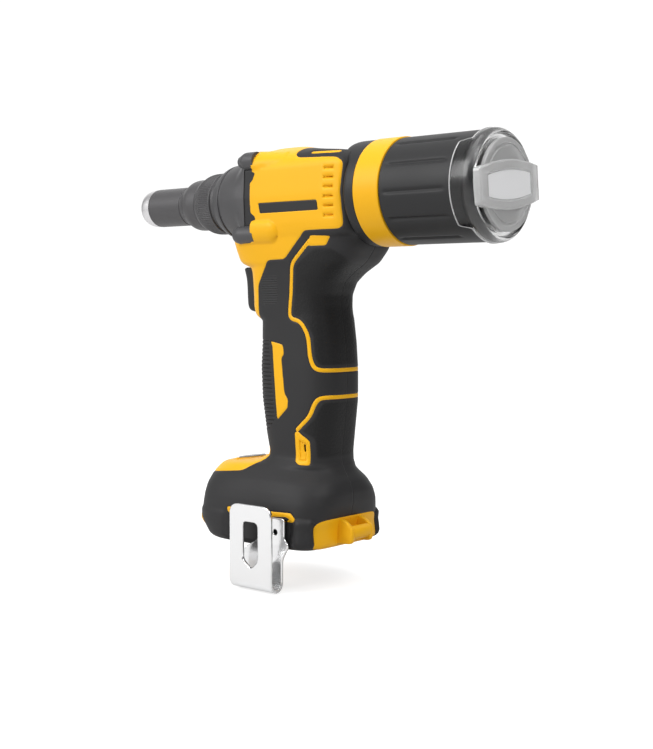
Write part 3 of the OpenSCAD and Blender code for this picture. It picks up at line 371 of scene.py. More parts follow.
def inside(path, places):
    """Whether a place lies in a closed path: a ray from it crosses the path an odd number of times."""
    a = np.asarray(path, float)
    b = np.roll(a, -1, 0)
    odd = np.zeros(len(places), bool)
    for p, q in zip(a, b):
        across = (p[1] > places[:, 1]) != (q[1] > places[:, 1])
        if across.any():
            at = p[0] + (places[:, 1] - p[1]) / ((q[1] - p[1]) or 1e-12) * (q[0] - p[0])
            odd ^= across & (places[:, 0] < at)
    return odd


def zone(path, places, radius=0):
    """Signed distance to a closed outline with rounded corners, negative inside."""
    path = rounded(path, radius) if np.any(radius) else np.asarray(path, float)
    return gap_to(path, places, True) * np.where(inside(path, places), -1, 1)


def band(path, places, width, radius):
    """Signed distance to a band of even width along an open path, negative inside."""
    return gap_to(rounded(path, radius, closed=False), places, False) - width / 2


def slab(lo, hi, values):
    """Signed distance to the slab lo < value < hi, negative inside."""
    return np.abs(values - (lo + hi) / 2) - (hi - lo) / 2


def ease(t):
    """The smooth step 3t^2 - 2t^3, held at 0 and 1 outside the range."""
    t = np.clip(t, 0, 1)
    return t * t * (3 - 2 * t)


# %% [markdown]
# ## Finishes
# Each finish is a Principled shader. What changes over a surface comes from shared node groups, built once
# and placed in each material with its own values: a moulded grain with faint smudges, a pebble pattern for
# the soft pads and turning lines for metal.

# %% Node groups


def group(name, inputs, outputs):
    """A new shader node group with named sockets, returned with its input and output nodes."""
    tree = bpy.data.node_groups.new(name, "ShaderNodeTree")
    for socket, kind, value in inputs:
        item = tree.interface.new_socket(socket, in_out="INPUT", socket_type=kind)
        item.default_value = value
    for socket, kind in outputs:
        tree.interface.new_socket(socket, in_out="OUTPUT", socket_type=kind)
    return tree, tree.nodes.new("NodeGroupInput"), tree.nodes.new("NodeGroupOutput")


def noise(tree, scale, detail, vector=None):
    """A noise over Object coordinates, with a scale from a number or a socket."""
    node = tree.nodes.new("ShaderNodeTexNoise")
    node.inputs["Detail"].default_value = detail
    if isinstance(scale, (int, float)):
        node.inputs["Scale"].default_value = scale
    else:
        tree.links.new(scale, node.inputs["Scale"])
    tree.links.new(vector or tree.nodes.new("ShaderNodeTexCoord").outputs["Object"], node.inputs["Vector"])
    return node.outputs["Fac"]


def tint(tree, colour, factor):
    """A colour brightened or darkened by a factor around one."""
    node = tree.nodes.new("ShaderNodeVectorMath")
    node.operation = "SCALE"
    tree.links.new(colour, node.inputs[0])
    tree.links.new(factor, node.inputs["Scale"])
    return node.outputs[0]


# %% Grain, pebbles and turning lines
FLOAT, COLOUR = "NodeSocketFloat", "NodeSocketColor"
grain, g_in, g_out = group("moulded_grain", [
    ("Colour", COLOUR, (0.5, 0.5, 0.5, 1)), ("Roughness", FLOAT, 0.5), ("Grain size", FLOAT, 2500.0),
    ("Smudge", FLOAT, 0.1)], [("Colour", COLOUR), ("Roughness", FLOAT), ("Height", FLOAT)])
fine = noise(grain, g_in.outputs["Grain size"], detail=2.0)
broad = noise(grain, scale=35.0, detail=4.0)
shift = math_node(grain, "SUBTRACT", broad, 0.5)
smudge = math_node(grain, "MULTIPLY", shift, g_in.outputs["Smudge"])
grain.links.new(math_node(grain, "ADD", smudge, g_in.outputs["Roughness"]), g_out.inputs["Roughness"])
shade = math_node(grain, "ADD", math_node(grain, "MULTIPLY", smudge, 0.5), 1.0)
grain.links.new(tint(grain, g_in.outputs["Colour"], shade), g_out.inputs["Colour"])
grain.links.new(fine, g_out.inputs["Height"])

base_share = 0.08
pebble, p_in, p_out = group("pebbled_pad", [
    ("Size", FLOAT, 900.0), ("Mask", FLOAT, 1.0), ("Base", FLOAT, 0.5)], [("Height", FLOAT)])
cells = pebble.nodes.new("ShaderNodeTexVoronoi")
cells.feature = "SMOOTH_F1"
cells.inputs["Smoothness"].default_value = 0.5
pebble.links.new(pebble.nodes.new("ShaderNodeTexCoord").outputs["Object"], cells.inputs["Vector"])
pebble.links.new(p_in.outputs["Size"], cells.inputs["Scale"])
bump = math_node(pebble, "SUBTRACT", 1.0, cells.outputs["Distance"])
raised = math_node(pebble, "MULTIPLY", bump, p_in.outputs["Mask"])
under = math_node(pebble, "MULTIPLY", p_in.outputs["Base"], base_share)
pebble.links.new(math_node(pebble, "ADD", raised, under), p_out.inputs["Height"])

round_share = 0.02
turning, t_in, t_out = group("turning_lines", [
    ("Pitch", FLOAT, 900.0), ("Roughness", FLOAT, 0.3), ("Spread", FLOAT, 0.2)],
    [("Roughness", FLOAT), ("Height", FLOAT)])
squeezed = turning.nodes.new("ShaderNodeVectorMath")
squeezed.operation = "MULTIPLY"
squeezed.inputs[1].default_value = (1.0, round_share, round_share)
turning.links.new(turning.nodes.new("ShaderNodeTexCoord").outputs["Object"], squeezed.inputs[0])
line = noise(turning, t_in.outputs["Pitch"], detail=3.0, vector=squeezed.outputs[0])
spread = math_node(turning, "MULTIPLY", math_node(turning, "SUBTRACT", line, 0.5), t_in.outputs["Spread"])
turning.links.new(math_node(turning, "ADD", spread, t_in.outputs["Roughness"]), t_out.inputs["Roughness"])
turning.links.new(line, t_out.inputs["Height"])
print("node groups:", grain.name, pebble.name, turning.name)

# %% [markdown]
# The tool has few finishes: moulded plastic in yellow and black, soft rubber, a painted casting, blackened
# and bright steel, and clear plastic. Most of them differ only in colour, gloss and grain, so a short
# function makes each kind, and one line gives each finish its numbers.

# %% Finishes


def finish(name, metallic=0.0, **sockets):
    """A material with a Principled shader; the sockets that are the same all over are set on it directly."""
    material = bpy.data.materials.new(name)
    material.use_nodes = True
    shader = material.node_tree.nodes["Principled BSDF"]
    shader.inputs["Metallic"].default_value = metallic
    for socket, value in sockets.items():
        shader.inputs[socket.replace("_", " ")].default_value = value
    return material, material.node_tree, shader


def place_group(tree, source, **values):
    """A node group placed in a material with its own values."""
    node = tree.nodes.new("ShaderNodeGroup")
    node.node_tree = source
    for socket, value in values.items():
        node.inputs[socket.replace("_", " ")].default_value = value
    return node


def bumped(tree, shader, height, strength, depth):
    """Turns a height into the shader's normal, with the depth of the relief in millimetres."""
    node = tree.nodes.new("ShaderNodeBump")
    node.inputs["Strength"].default_value = strength
    node.inputs["Distance"].default_value = depth * MM
    tree.links.new(height, node.inputs["Height"])
    tree.links.new(node.outputs["Normal"], shader.inputs["Normal"])


# %% Kinds of finish


def moulded(name, colour, roughness, smudge, size, depth, **sockets):
    """Moulded plastic or coated metal: grain, faint smudges and a fine relief."""
    material, tree, shader = finish(name, **sockets)
    node = place_group(tree, grain, Colour=(*colour, 1), Roughness=roughness, Grain_size=size, Smudge=smudge)
    tree.links.new(node.outputs["Colour"], shader.inputs["Base Color"])
    tree.links.new(node.outputs["Roughness"], shader.inputs["Roughness"])
    bumped(tree, shader, node.outputs["Height"], strength=0.35, depth=depth)
    return material


def machined(name, colour, roughness, spread, pitch, **sockets):
    """Turned or rolled metal: fine lines across X in its gloss and relief."""
    material, tree, shader = finish(name, **sockets)
    shader.inputs["Base Color"].default_value = (*colour, 1)
    node = place_group(tree, turning, Pitch=pitch, Roughness=roughness, Spread=spread)
    tree.links.new(node.outputs["Roughness"], shader.inputs["Roughness"])
    bumped(tree, shader, node.outputs["Height"], strength=0.15, depth=0.02)
    return material


def own_mark(tree, name):
    """The piece's own mark of that name, a value from 0 to 1 over its surface."""
    node = tree.nodes.new("ShaderNodeAttribute")
    node.attribute_name = name
    return node.outputs["Fac"]


def soft_skin(name, colour, roughness, pebble_shade=0.72, line_pitch=1.45):
    """Overmoulded rubber: satin where it is smooth, pebbled or lined where the piece's own marks say so. The
    lines are a sine over the height, and the pebbled pads are darker by their shade."""
    material, tree, shader = finish(name, Specular_IOR_Level=0.3)
    base = place_group(tree, grain, Colour=(*colour, 1), Roughness=roughness, Grain_size=1800.0, Smudge=0.12)
    pebbled = own_mark(tree, "pebble")
    pads = place_group(tree, pebble, Size=900.0)
    tree.links.new(pebbled, pads.inputs["Mask"])
    tree.links.new(base.outputs["Height"], pads.inputs["Base"])
    darker = math_node(tree, "SUBTRACT", 1.0, math_node(tree, "MULTIPLY", pebbled, pebble_shade))
    tree.links.new(tint(tree, base.outputs["Colour"], darker), shader.inputs["Base Color"])
    tree.links.new(base.outputs["Roughness"], shader.inputs["Roughness"])
    place = tree.nodes.new("ShaderNodeSeparateXYZ")
    tree.links.new(tree.nodes.new("ShaderNodeTexCoord").outputs["Object"], place.inputs[0])
    phase = math_node(tree, "MULTIPLY", place.outputs["Z"], 2 * math.pi / (line_pitch * MM))
    ridges = math_node(tree, "MULTIPLY", math_node(tree, "SINE", phase, 0.0), own_mark(tree, "lines"))
    height = math_node(tree, "ADD", pads.outputs["Height"], ridges)
    bumped(tree, shader, height, strength=0.5, depth=0.35)
    return material


# %% Plastics, rubber and metals
# Moulded: colour, roughness, smudge, grain size, depth of relief. Machined: colour, roughness, spread, pitch.
yellow = moulded("yellow_nylon", (0.90, 0.46, 0.008), 0.42, 0.10, 2600.0, 0.05, Specular_IOR_Level=0.22)
rubber = soft_skin("black_soft_skin", (0.020, 0.0195, 0.0205), 0.55)
plastic = moulded("black_moulding", (0.015, 0.015, 0.016), 0.50, 0.10, 2200.0, 0.05, Specular_IOR_Level=0.35)
pale = moulded("pale_panel", (0.82, 0.82, 0.83), 0.35, 0.05, 3000.0, 0.01)
# Black of the label strip; it is also laid into the lower tab's slot as painted shade of the hole.
gloss_label_and_slot_shade = moulded("label_and_slot_shade_black", (0.006, 0.006, 0.007), 0.30, 0.05, 3000.0, 0.01)
casting = moulded("grey_casting", (0.075, 0.074, 0.077), 0.46, 0.12, 1500.0, 0.08, metallic=0.35)
dark_steel = machined("blackened_steel", (0.080, 0.078, 0.081), 0.42, 0.15, 1500.0, metallic=0.3)
steel = machined("machined_steel", (0.55, 0.55, 0.56), 0.30, 0.2, 1200.0, metallic=1.0)
bright = machined("bright_steel", (0.74, 0.73, 0.74), 0.30, 0.12, 700.0, metallic=1.0)
brass = machined("insert_brass", (0.70, 0.48, 0.18), 0.32, 0.15, 1200.0, metallic=1.0)
copper = machined("stator_winding", (0.45, 0.20, 0.09), 0.45, 0.2, 1500.0, metallic=0.5)
board = moulded("circuit_board", (0.04, 0.16, 0.07), 0.45, 0.1, 1500.0, 0.03)
plate_bright = machined("bright_plate", (0.88, 0.88, 0.885), 0.18, 0.06, 500.0, metallic=1.0)


# %% See-through plastics


def see_through(name, level, transmission, roughness):
    """Clear or frosted plastic with faint smudges in its gloss."""
    material, tree, shader = finish(name, Base_Color=(level, level, level, 1), IOR=1.46,
                                    Transmission_Weight=transmission)
    node = place_group(tree, grain, Roughness=roughness, Smudge=0.05)
    tree.links.new(node.outputs["Roughness"], shader.inputs["Roughness"])
    return material


clear = see_through("clear_plastic", 0.96, 1.0, 0.22)
clear_disc = see_through("clear_disc_plastic", 0.80, 0.60, 0.14)
clear_bar = see_through("clear_bar_plastic", 0.95, 0.66, 0.10)
clear_edge = see_through("clear_edge_plastic", 0.90, 0.45, 0.10)
lens_grey = see_through("lens_plastic", 0.22, 0.2, 0.25)
print(len(bpy.data.materials), "materials so far, with those of the frame")

# %% [markdown]
# ## Floor
# A wide pale sheet just under the hook catches a soft shadow. To the camera it also glows, so that it melts
# into the white backdrop, and less so in mirror reflections, where a bright plate would turn plain white.

# %% Floor
camera_glow, mirror_glow = 0.7, 0.3
floor_finish, floor_tree, floor_shader = finish("pale_floor", Roughness=0.9, Specular_IOR_Level=0.0)
floor_node = place_group(floor_tree, grain, Colour=(0.5, 0.5, 0.5, 1), Smudge=0.02)
floor_tree.links.new(floor_node.outputs["Colour"], floor_shader.inputs["Base Color"])
floor_shader.inputs["Emission Color"].default_value = (1, 1, 1, 1)
ray = floor_tree.nodes.new("ShaderNodeLightPath").outputs
mirrored = math_node(floor_tree, "MULTIPLY", ray["Is Glossy Ray"], mirror_glow)
seen = math_node(floor_tree, "MULTIPLY", ray["Is Camera Ray"], camera_glow)
glow = math_node(floor_tree, "MAXIMUM", seen, mirrored)
floor_tree.links.new(glow, floor_shader.inputs["Emission Strength"])
floor_z, floor_half = low("belt_hook")[2] - 0.5, 4000.0
corners = np.array([[-1, -1], [1, -1], [1, 1], [-1, 1]]) * floor_half
sheet = np.column_stack([corners, np.full(4, floor_z)])
floor = make_piece("floor", sheet, np.array([[0, 1, 2, 3]]), floor_finish, sharp=0, turn=False)

# %% [markdown]
# ## The moulding
# The housing is one lofted form from the top of the body down to the foot. A subdivided box could be pushed
# into it by hand, but a table of levels is easier to read and to change. At each level the outline is a
# superellipse, |x/a|^n + |y/b|^n = 1, whose front, back, half width and power change with height. The levels
# follow the CAD solid, with a softer crown and a flatter lamp pad, and are blurred a little so that the edges
# round as a moulding's do.

# %% Levels of the moulding
z_top, z_chin, z_foot = high("housing_left")[2], -41.0, -163.0
half_body, half_grip = 28.0, 20.5
x_grip, x_palm = x_body - 1.5, x_body + 57.5
x_toe, x_heel = x_body - 41.0, x_body + 62.5
level_table = np.array([
    [z_top - 1.5, x_body + 6, x_rear - 54, 4, 3],
    [z_top - 2.4, x_body + 2, x_rear - 46, 8, 4],
    [z_top - 3.3, x_body - 2, x_rear - 41, 12, 5],
    [z_top - 4.2, x_body - 5, x_rear - 36, 15.5, 6],
    [z_top - 5.4, x_body - 8, x_rear - 28, 18.7, 7],
    [z_top - 6.6, x_body - 8, x_rear - 18, 20.8, 8],
    [z_top - 7.5, x_body - 8, x_rear - 4, 22.4, 8],
    [z_top - 8.7, x_body - 8, x_rear, 23.6, 8],
    [z_top - 11, x_body - 8, x_rear, 25.6, 8],
    [z_top - 15, x_body - 8, x_rear, half_body - 0.8, 9],
    [0, x_body - 8, x_rear, half_body, 9],
    [-17, x_body - 8, x_rear, half_body - 0.8, 9],
    [-23.5, x_body - 8, x_rear, half_body - 2, 8],
    [-24.5, x_body - 21.5, x_rear, half_body - 2.5, 4.5],
    [-32, x_body - 19.5, x_rear - 1.5, half_body - 3.2, 4.2],
    [z_chin + 3, x_body - 17.5, x_rear - 6, half_body - 4, 4],
    [z_chin + 0.5, x_body - 14.5, x_rear - 8.5, half_body - 4.3, 4],
    [z_chin - 0.5, x_body - 9, x_rear - 10, half_grip + 2.9, 3.6],
    [z_chin - 5, x_body - 7.6, x_rear - 17.5, half_grip + 2.2, 3.5],
    [z_chin - 11, x_grip - 5.8, x_palm - 1.5, half_grip + 1.5, 3.4],
    [z_chin - 19, x_grip - 5.8, x_palm - 4.7, half_grip + 0.7, 3.3],
    [z_chin - 27, x_grip - 5.8, x_palm - 4.7, half_grip + 0.3, 3.3],
    [z_chin - 31.5, x_grip - 4.5, x_palm - 4, half_grip + 0.1, 3.3],
    [z_chin - 34.5, x_grip + 1.5, x_palm - 3.4, half_grip, 3.3],
    [z_chin - 48.8, x_grip + 1, x_palm - 1.2, half_grip - 0.2, 3.3],
    [z_chin - 64.7, x_grip, x_palm, half_grip, 3.3],
    [z_chin - 84.2, x_grip + 1, x_palm, half_grip, 3.3],
    [z_chin - 103.7, x_grip + 4.5, x_palm - 2.5, half_grip - 0.2, 3.3],
    [z_foot + 5, x_grip + 7.5, x_palm - 4, half_grip - 0.3, 3.2],
    [z_foot + 1, x_grip + 7, x_palm - 4, half_grip + 0.1, 3.2],
    [z_foot - 1, x_toe + 41, x_heel - 8.4, half_foot - 15.5, 2.8],
    [z_foot - 3.2, x_toe + 37, x_heel - 7.9, half_foot - 14, 2.8],
    [z_foot - 4.4, x_toe + 33, x_heel - 7.3, half_foot - 13.2, 2.8],
    [z_foot - 4.7, x_toe + 20, x_heel - 7, half_foot - 13, 2.8],
    [z_foot - 5.0, x_toe + 8, x_heel - 6.8, half_foot - 12.5, 2.8],
    [z_foot - 8, x_toe + 4.2, x_heel - 5.5, half_foot - 10, 3],
    [z_foot - 13, x_toe + 1.5, x_heel - 2, half_foot - 6, 3.4],
    [z_foot - 19, x_toe, x_heel, half_foot - 3, 3.8],
    [z_foot - 25, x_toe, x_heel, half_foot - 1.2, 4.2],
    [z_foot - 32, x_toe + 0.5, x_heel - 1.5, half_foot, 4.6],
    [z_base + 11, x_toe + 1.5, x_heel - 3.5, half_foot, 5],
    [z_base, x_toe + 12.5, x_heel - 4, half_foot, 6]])
rib_top, rib_low = z_chin - 46.5, z_chin - 105.0


# %% Surface of the moulding


def level_at(z):
    """Front, back, half width and power of the moulding's outline at heights z."""
    return [np.interp(-z, -level_table[:, 0], column) for column in level_table[:, 1:].T]


def ellipse_share(t, power):
    """The other side of a unit superellipse: (1 - |t|^n)^(1/n)."""
    return np.clip(1 - np.abs(t) ** power, 0, 1) ** (1 / power)


def moulding_levels(blur=0.9, step=0.2, spacing=1.25, edge=2.0, over_ribs=3.0, top_rows=9, base_rows=28):
    """Rows (z, front, back, half width, power, share of y) from the top's middle to the base's middle, evenly
    spaced along the surface and closer over the finger ribs. A bell curve blurs the table, and the bottom
    edge is a quarter round."""
    z = np.arange(level_table[0, 0], z_base, -step)
    reach = int(4 * blur / step)
    bell = np.exp(-0.5 * (np.arange(-reach, reach + 1) * step / blur) ** 2)
    padded = np.pad(np.column_stack(level_at(z)), ((reach, reach), (0, 0)), mode="edge")
    rows = np.column_stack([z] + [np.convolve(col, bell / bell.sum(), "valid") for col in padded.T])
    turn = np.linspace(0, np.pi / 2, 10)
    above = rows[z > z_base + edge]
    roll = np.repeat(above[-1:], len(turn), 0)
    sink, inset = edge * np.sin(turn), edge * (1 - np.cos(turn))
    roll[:, 0] = z_base + edge - sink
    roll[:, 1] += inset + (level_table[-1, 1] - above[-1, 1]) * sink / edge
    roll[:, 2:4] -= inset[:, None]
    rows = np.vstack([above, roll[1:]])
    change = np.diff(rows, axis=0)
    dense = np.where((rows[1:, 0] < rib_top) & (rows[1:, 0] > rib_low), over_ribs, 1.0)
    way = np.r_[0, np.cumsum(dense * np.sqrt((change[:, :4] ** 2 * [1, 0.5, 0.5, 1]).sum(1)))]
    at = np.linspace(0, way[-1], int(way[-1] / spacing))
    rows = np.column_stack([np.interp(at, way, col) for col in rows.T] + [np.ones(len(at))])
    top, base = np.repeat(rows[:1], top_rows, 0), np.repeat(rows[-1:], base_rows, 0)
    top[:, 5] = np.arange(top_rows) / top_rows
    base[:, 5] = 1 - (np.arange(base_rows) + 1) / base_rows
    return np.vstack([top, rows, base])


def moulding_half(levels, cols=131):
    """Points and outward normals of the half on the -Y side: with k = (|cos|^n + |sin|^n)^(-1/n), a level's
    outline is x = mid + a k cos and y = -b k sin, from its front round to its back."""
    angle = np.linspace(np.pi, 0, cols)
    c, s = np.cos(angle), np.sin(angle)
    z, front, rear, half, power, share = (col[:, None] for col in levels.T)
    k = (np.abs(c) ** power + np.abs(s) ** power) ** (-1 / power)
    x = (front + rear) / 2 + (rear - front) / 2 * c * k
    points = np.stack([x, -half * s * k * share, np.broadcast_to(z, x.shape)], -1)
    normal = np.cross(np.gradient(points, axis=0), np.gradient(points, axis=1))
    length = np.linalg.norm(normal, axis=2, keepdims=True)
    return points, normal / np.maximum(length, 1e-9)


levels = moulding_levels()
moulding, moulding_normal = moulding_half(levels)
print("moulding grid", moulding.shape)

# %% [markdown]
# ## Where yellow meets black
# Seen from the side, the yellow shell shows through windows in the skin: the whole body panel, a slim strip
# on the shoulder above it, two accent lines with their tabs, an inlay in the grip, the lamp pad, the heel,
# the toe and a ledge along the foot. On the real tool the skin is moulded round them. Colour alone could show
# them, but a cut gives each material its own mesh and a real seam. Each window is an outline in the side view
# with rounded corners, close to the CAD solid's own where that has it too.

# %% Windows of the skin
line_w = 2.4
panel = [[x_body - 45, z_top + 8], [x_rear - 39, z_top + 8], [x_rear - 43.5, z_top - 7.5],
         [x_rear - 39, z_top - 10.4], [x_rear - 9, z_top - 11.8], [x_rear - 4.5, z_top - 14.2],
         [x_rear - 3.8, 16], [x_rear - 5, 0.8], [x_rear - 3.8, -16], [x_rear - 4, -19.5],
         [x_rear - 6.5, -21.4], [x_rear - 33, -21.5], [x_body + 29.5, z_chin + 2.6],
         [x_body + 15, z_chin + 2.2], [x_body + 3.8, z_chin - 13.8], [x_body + 3, z_chin - 32.5],
         [x_body + 0.5, z_chin - 35.5], [x_body - 45, z_chin - 35.5]]
top_line = [[x_rear - 30, z_top - 8.0], [x_rear - 8, z_top - 8.7]]
upper_tab = steps_from(x_rear, z_chin, (-29, 16.4), (-14.2, 16), (-18, 10.1), (-31.4, 10))
upper_line = [[x_rear - 30, z_chin + 13], [x_body + 34.8, z_chin - 0.5], [x_body + 30.3, z_chin - 31.5],
              [x_body + 32, z_chin - 34.2], [x_body + 39, z_chin - 35.6], [x_body + 44.1, z_chin - 44],
              [x_body + 45.8, z_chin - 59], [x_body + 49, z_chin - 65.3], [x_palm + 8, z_chin - 65.7]]
lower_line = [[x_palm + 8, z_chin - 81.8], [x_body + 51.5, z_chin - 82], [x_body + 48.4, z_chin - 86],
              [x_body + 45.4, z_chin - 94], [x_body + 36.5, z_chin - 102.3]]
lower_tab = steps_from(x_body, z_chin, (34.4, -104), (35.6, -122.5), (38.7, -124.3), (45.5, -124.3),
                       (45.1, -109), (37, -103.5))
inlay = steps_from(x_body, z_chin, (14, -48.2), (24.5, -50.3), (25.6, -56), (23.4, -58.6), (26, -80.2),
                   (29, -84.2), (28.5, -89.3), (19.8, -97.3), (15.7, -51.3))
lamp_pad = [[x_toe - 8, z_foot + 8], [x_body + 10.5, z_foot + 8], [x_body + 11, z_foot],
            [x_body - 3.5, z_foot - 8.8], [x_body - 22, z_foot - 10.8], [x_body - 34.5, z_foot - 12.5],
            [x_toe - 8, z_foot - 15]]
heel_wall = steps_from(x_heel, z_base, (-6.6, -2), (-6.6, 13.5), (-3, 17.6), (9, 18.4), (9, -2))
side_ledge = steps_from(x_body, z_base, (-7.5, 20.4), (28.5, 21.1), (44.5, 21.4), (47.8, 17.8),
                        (47.8, 16.1), (41.5, 16.1), (42, 17.6), (44.2, 18), (42.5, 19), (28.5, 18.2),
                        (-7.5, 17.4))
toe_wall = steps_from(x_toe, z_base, (-8, 15), (4.5, 15), (10.5, 6), (13.5, -2), (-8, -2))

# %% Pads, label strip and openings
pebble_pads = [
    [[x_rear - 27, z_chin + 9], [x_body + 37, z_chin - 1], [x_body + 32.6, z_chin - 32],
     [x_body + 40, z_chin - 33.8], [x_body + 46.5, z_chin - 44], [x_body + 48, z_chin - 58],
     [x_body + 51, z_chin - 63], [x_palm + 9, z_chin - 63], [x_palm + 9, z_chin - 20],
     [x_rear - 8, z_chin + 4], [x_rear - 14, z_chin + 9]],
    [[x_palm + 9, z_chin - 84], [x_body + 52.5, z_chin - 84.4], [x_body + 47.5, z_chin - 95],
     [x_body + 39, z_chin - 103], [x_body + 47.5, z_chin - 107.5], [x_body + 47.8, z_chin - 120],
     [x_palm + 9, z_chin - 120]]]
rib_strip = [[x_body - 10, rib_top], [x_body + 13, rib_top], [x_body + 18.5, z_chin - 97],
             [x_body + 12, rib_low], [x_body - 10, rib_low]]
label_strip = steps_from(x_body, 0, (11.3, -3.8), (59.1, -4), (59.7, -10.1), (12.4, -10.2))
thumb_pad = steps_from(x_body, z_chin, (7.8, -7.2), (22, -7), (21.4, -24.5), (9, -26.5), (6.8, -16))
cover_edge = [[x_body - 60, z_top + 9], [x_body + 5.2, z_top + 9], [x_body + 5.2, 15.6], [x_body + 8.2, 14.9],
              [x_body + 6, 10], [x_body + 4, 9], [x_body + 4.3, -9.7], [x_body + 7.8, -11.6],
              [x_body + 8.6, -14.5], [x_body + 5.2, -15.4], [x_body + 5.2, -26.3], [x_body + 2, -27.4],
              [x_body - 8, -27.2], [x_body - 13, -24], [x_body - 60, -24]]
lower_recess = steps_from(x_body, z_chin, (36.9, -107.8), (43.4, -110.3), (43.5, -122), (38, -122))
lower_slot = steps_from(x_body, z_chin, (40.6, -110.6), (43.2, -112), (42.6, -115.7), (41.2, -116.2))
vent_x, vent_z, vent_l, vent_h = x_rear - 13.1, 0.5, 8.2, 2.7
vent_pitch, vent_n = 5.55, 6
heel_half, heel_turn, toe_turn = 30.0, 2.5, 1.5

# %% Field of the windows
windows = ((panel, 2.5), (upper_tab, 1.2), (lower_tab, 1.5), (inlay, 1.5), (lamp_pad, 3.0), (side_ledge, 0.8),
           (toe_wall, toe_turn))
accent_lines = ((top_line, 1.3, 0.5), (upper_line, line_w, 4.0), (lower_line, line_w, 4.0))
print(len(windows), "windows and", len(accent_lines), "accent lines")


def yellow_field(places):
    """Signed distance to the nearest window edge, negative where the shell shows. Windows are read in the
    side view, apart from the heel, which also ends at the rear lobes on either side."""
    side = places[:, [0, 2]]
    heel = np.maximum(zone(heel_wall, side, heel_turn), np.abs(places[:, 1]) - heel_half)
    fields = [zone(path, side, radius) for path, radius in windows]
    fields += [band(path, side, width, radius) for path, width, radius in accent_lines]
    return np.minimum.reduce(fields + [heel])


# %% [markdown]
# ## Cutting the shell and the skin
# The grid carries its fields as extra columns beside its points and normals, so a cut keeps them all. After
# the cuts each point moves along its normal: down into the seams, in at the vents and over the ribs, out
# beside the bosses of the cover and at the corners of the foot.

# %% Fields on the moulding
PX, PY, PZ, NX, NY, NZ, YELLOW, LABEL_AND_SLOT_SHADE, VENT, HOLE, PART, RECESS, PEBBLE, LINES = range(14)
bay_end, bay_half, mouth_half = x_heel - 10, 28.5, 23.5
bay_top, rail_top = z_base + 14, z_base + 6
trigger_half, trigger_lo, trigger_hi = 9.8, z_chin - 30.3, z_chin - 1.2
insert_x, insert_z, insert_r = x_body + 25.5, z_base + 11, 3.1
front_end, far = x_body + 30, 50.0


def moulding_fields(points, normals):
    """Columns for cutting: windows, the black label strip together with the lower tab's slot, whose black is
    painted shade of the hole, vents, openings to leave out, parting line and the lower tab's recess. Then
    come the marks for pebbles and lines. Openings at the front are moved far away behind the front end, so
    that they don't go through the back."""
    p = points.reshape(-1, 3)
    side = p[:, [0, 2]]
    # The lower tab's slot joins the label strip's black: painted shade standing for the dark of its hole.
    label_and_slot_shade = np.minimum(zone(label_strip, side, 0.6), zone(lower_slot, side, 0.4))
    row_mid = (vent_n - 1) / 2
    row = np.clip(np.round((p[:, 2] - vent_z) / vent_pitch + row_mid), 0, vent_n - 1) - row_mid
    to_row = p[:, 2] - vent_z - row * vent_pitch
    vent = np.maximum(np.abs(p[:, 0] - vent_x) - vent_l / 2, np.abs(to_row) - vent_h / 2)
    behind = np.where(p[:, 0] < front_end, 0.0, far)
    bay_at = np.maximum(slab(rail_top, bay_top, p[:, 2]), np.abs(p[:, 1]) - bay_half)
    mouth_at = np.maximum(slab(z_base - 9, rail_top + 0.1, p[:, 2]), np.abs(p[:, 1]) - mouth_half)
    under = np.maximum(np.maximum(np.abs(p[:, 1]) - mouth_half, p[:, 0] - bay_end), p[:, 2] - z_base - 1)
    slot = np.maximum(slab(trigger_lo, trigger_hi, p[:, 2]), np.abs(p[:, 1]) - trigger_half) + behind
    insert = np.hypot(p[:, 0] - insert_x, p[:, 2] - insert_z) - insert_r
    tee = np.minimum(bay_at, mouth_at) + behind
    hole = np.minimum.reduce([tee, under, slot, insert, zone(cover_edge, side, 1.0)])
    pad = np.minimum.reduce([zone(path, side, 2.0) for path in pebble_pads])
    pebbled, lined = ease(-pad / 1.5), ease(-zone(thumb_pad, side, 1.5) / 0.8)
    return np.column_stack([p, normals.reshape(-1, 3), yellow_field(p), label_and_slot_shade, vent, hole, p[:, 1],
                            zone(lower_recess, side, 0.8), pebbled, lined])


# %% Grooves
rib_pitch, rib_depth = 2.5, 0.55
seam_half, seam_mid, seam_depth = 0.9, 0.4, 0.55
parting_half, parting_depth = 0.6, 0.25
vent_lip, vent_edge, recess_edge = 0.4, 0.15, 0.5


def grooves(table):
    """Depth of what is cut in: seams and parting line by the square of the nearness to their middle, vents
    that deepen towards the rear, finger ribs as a wave over the height, and the lower tab's recess and
    slot."""
    side = table[:, [PX, PZ]]
    seam = seam_depth * np.clip(1 - np.abs(table[:, YELLOW]) / seam_half, 0, 1) ** 2
    parting = parting_depth * np.clip(1 + table[:, PART] / parting_half, 0, 1) ** 2
    vent_depth = 0.5 + 1.6 * ease((table[:, PX] - vent_x) / vent_l + 0.5)
    rolled_lip = 0.2 * np.clip(1 - table[:, VENT] / vent_lip, 0, 1) ** 2
    vents = vent_depth * ease(-table[:, VENT] / vent_edge) + rolled_lip
    wave = 0.5 - 0.5 * np.cos(2 * np.pi * (table[:, PZ] - rib_top) / rib_pitch)
    ribs = rib_depth * ease(-zone(rib_strip, side, 2.0) / 1.2) * ease(1.6 * wave - 0.3)
    tab = 0.7 * ease(-table[:, RECESS] / recess_edge) + 1.2 * ease(-zone(lower_slot, side, 0.5) / 0.6)
    return seam + parting + vents + ribs + tab


# %% Swellings and lobes
upper_swell, upper_half, upper_taper, swell_l = 3.0, 6.6, 3.4, 26
lower_swell, lower_half = 2.6, 6.4
upper_swell_line = [[x_body - 4, 22.4], [x_body + 27, 23.6]]
lower_swell_line = [[x_body - 4, -21.6], [x_body + 19, -21.6]]


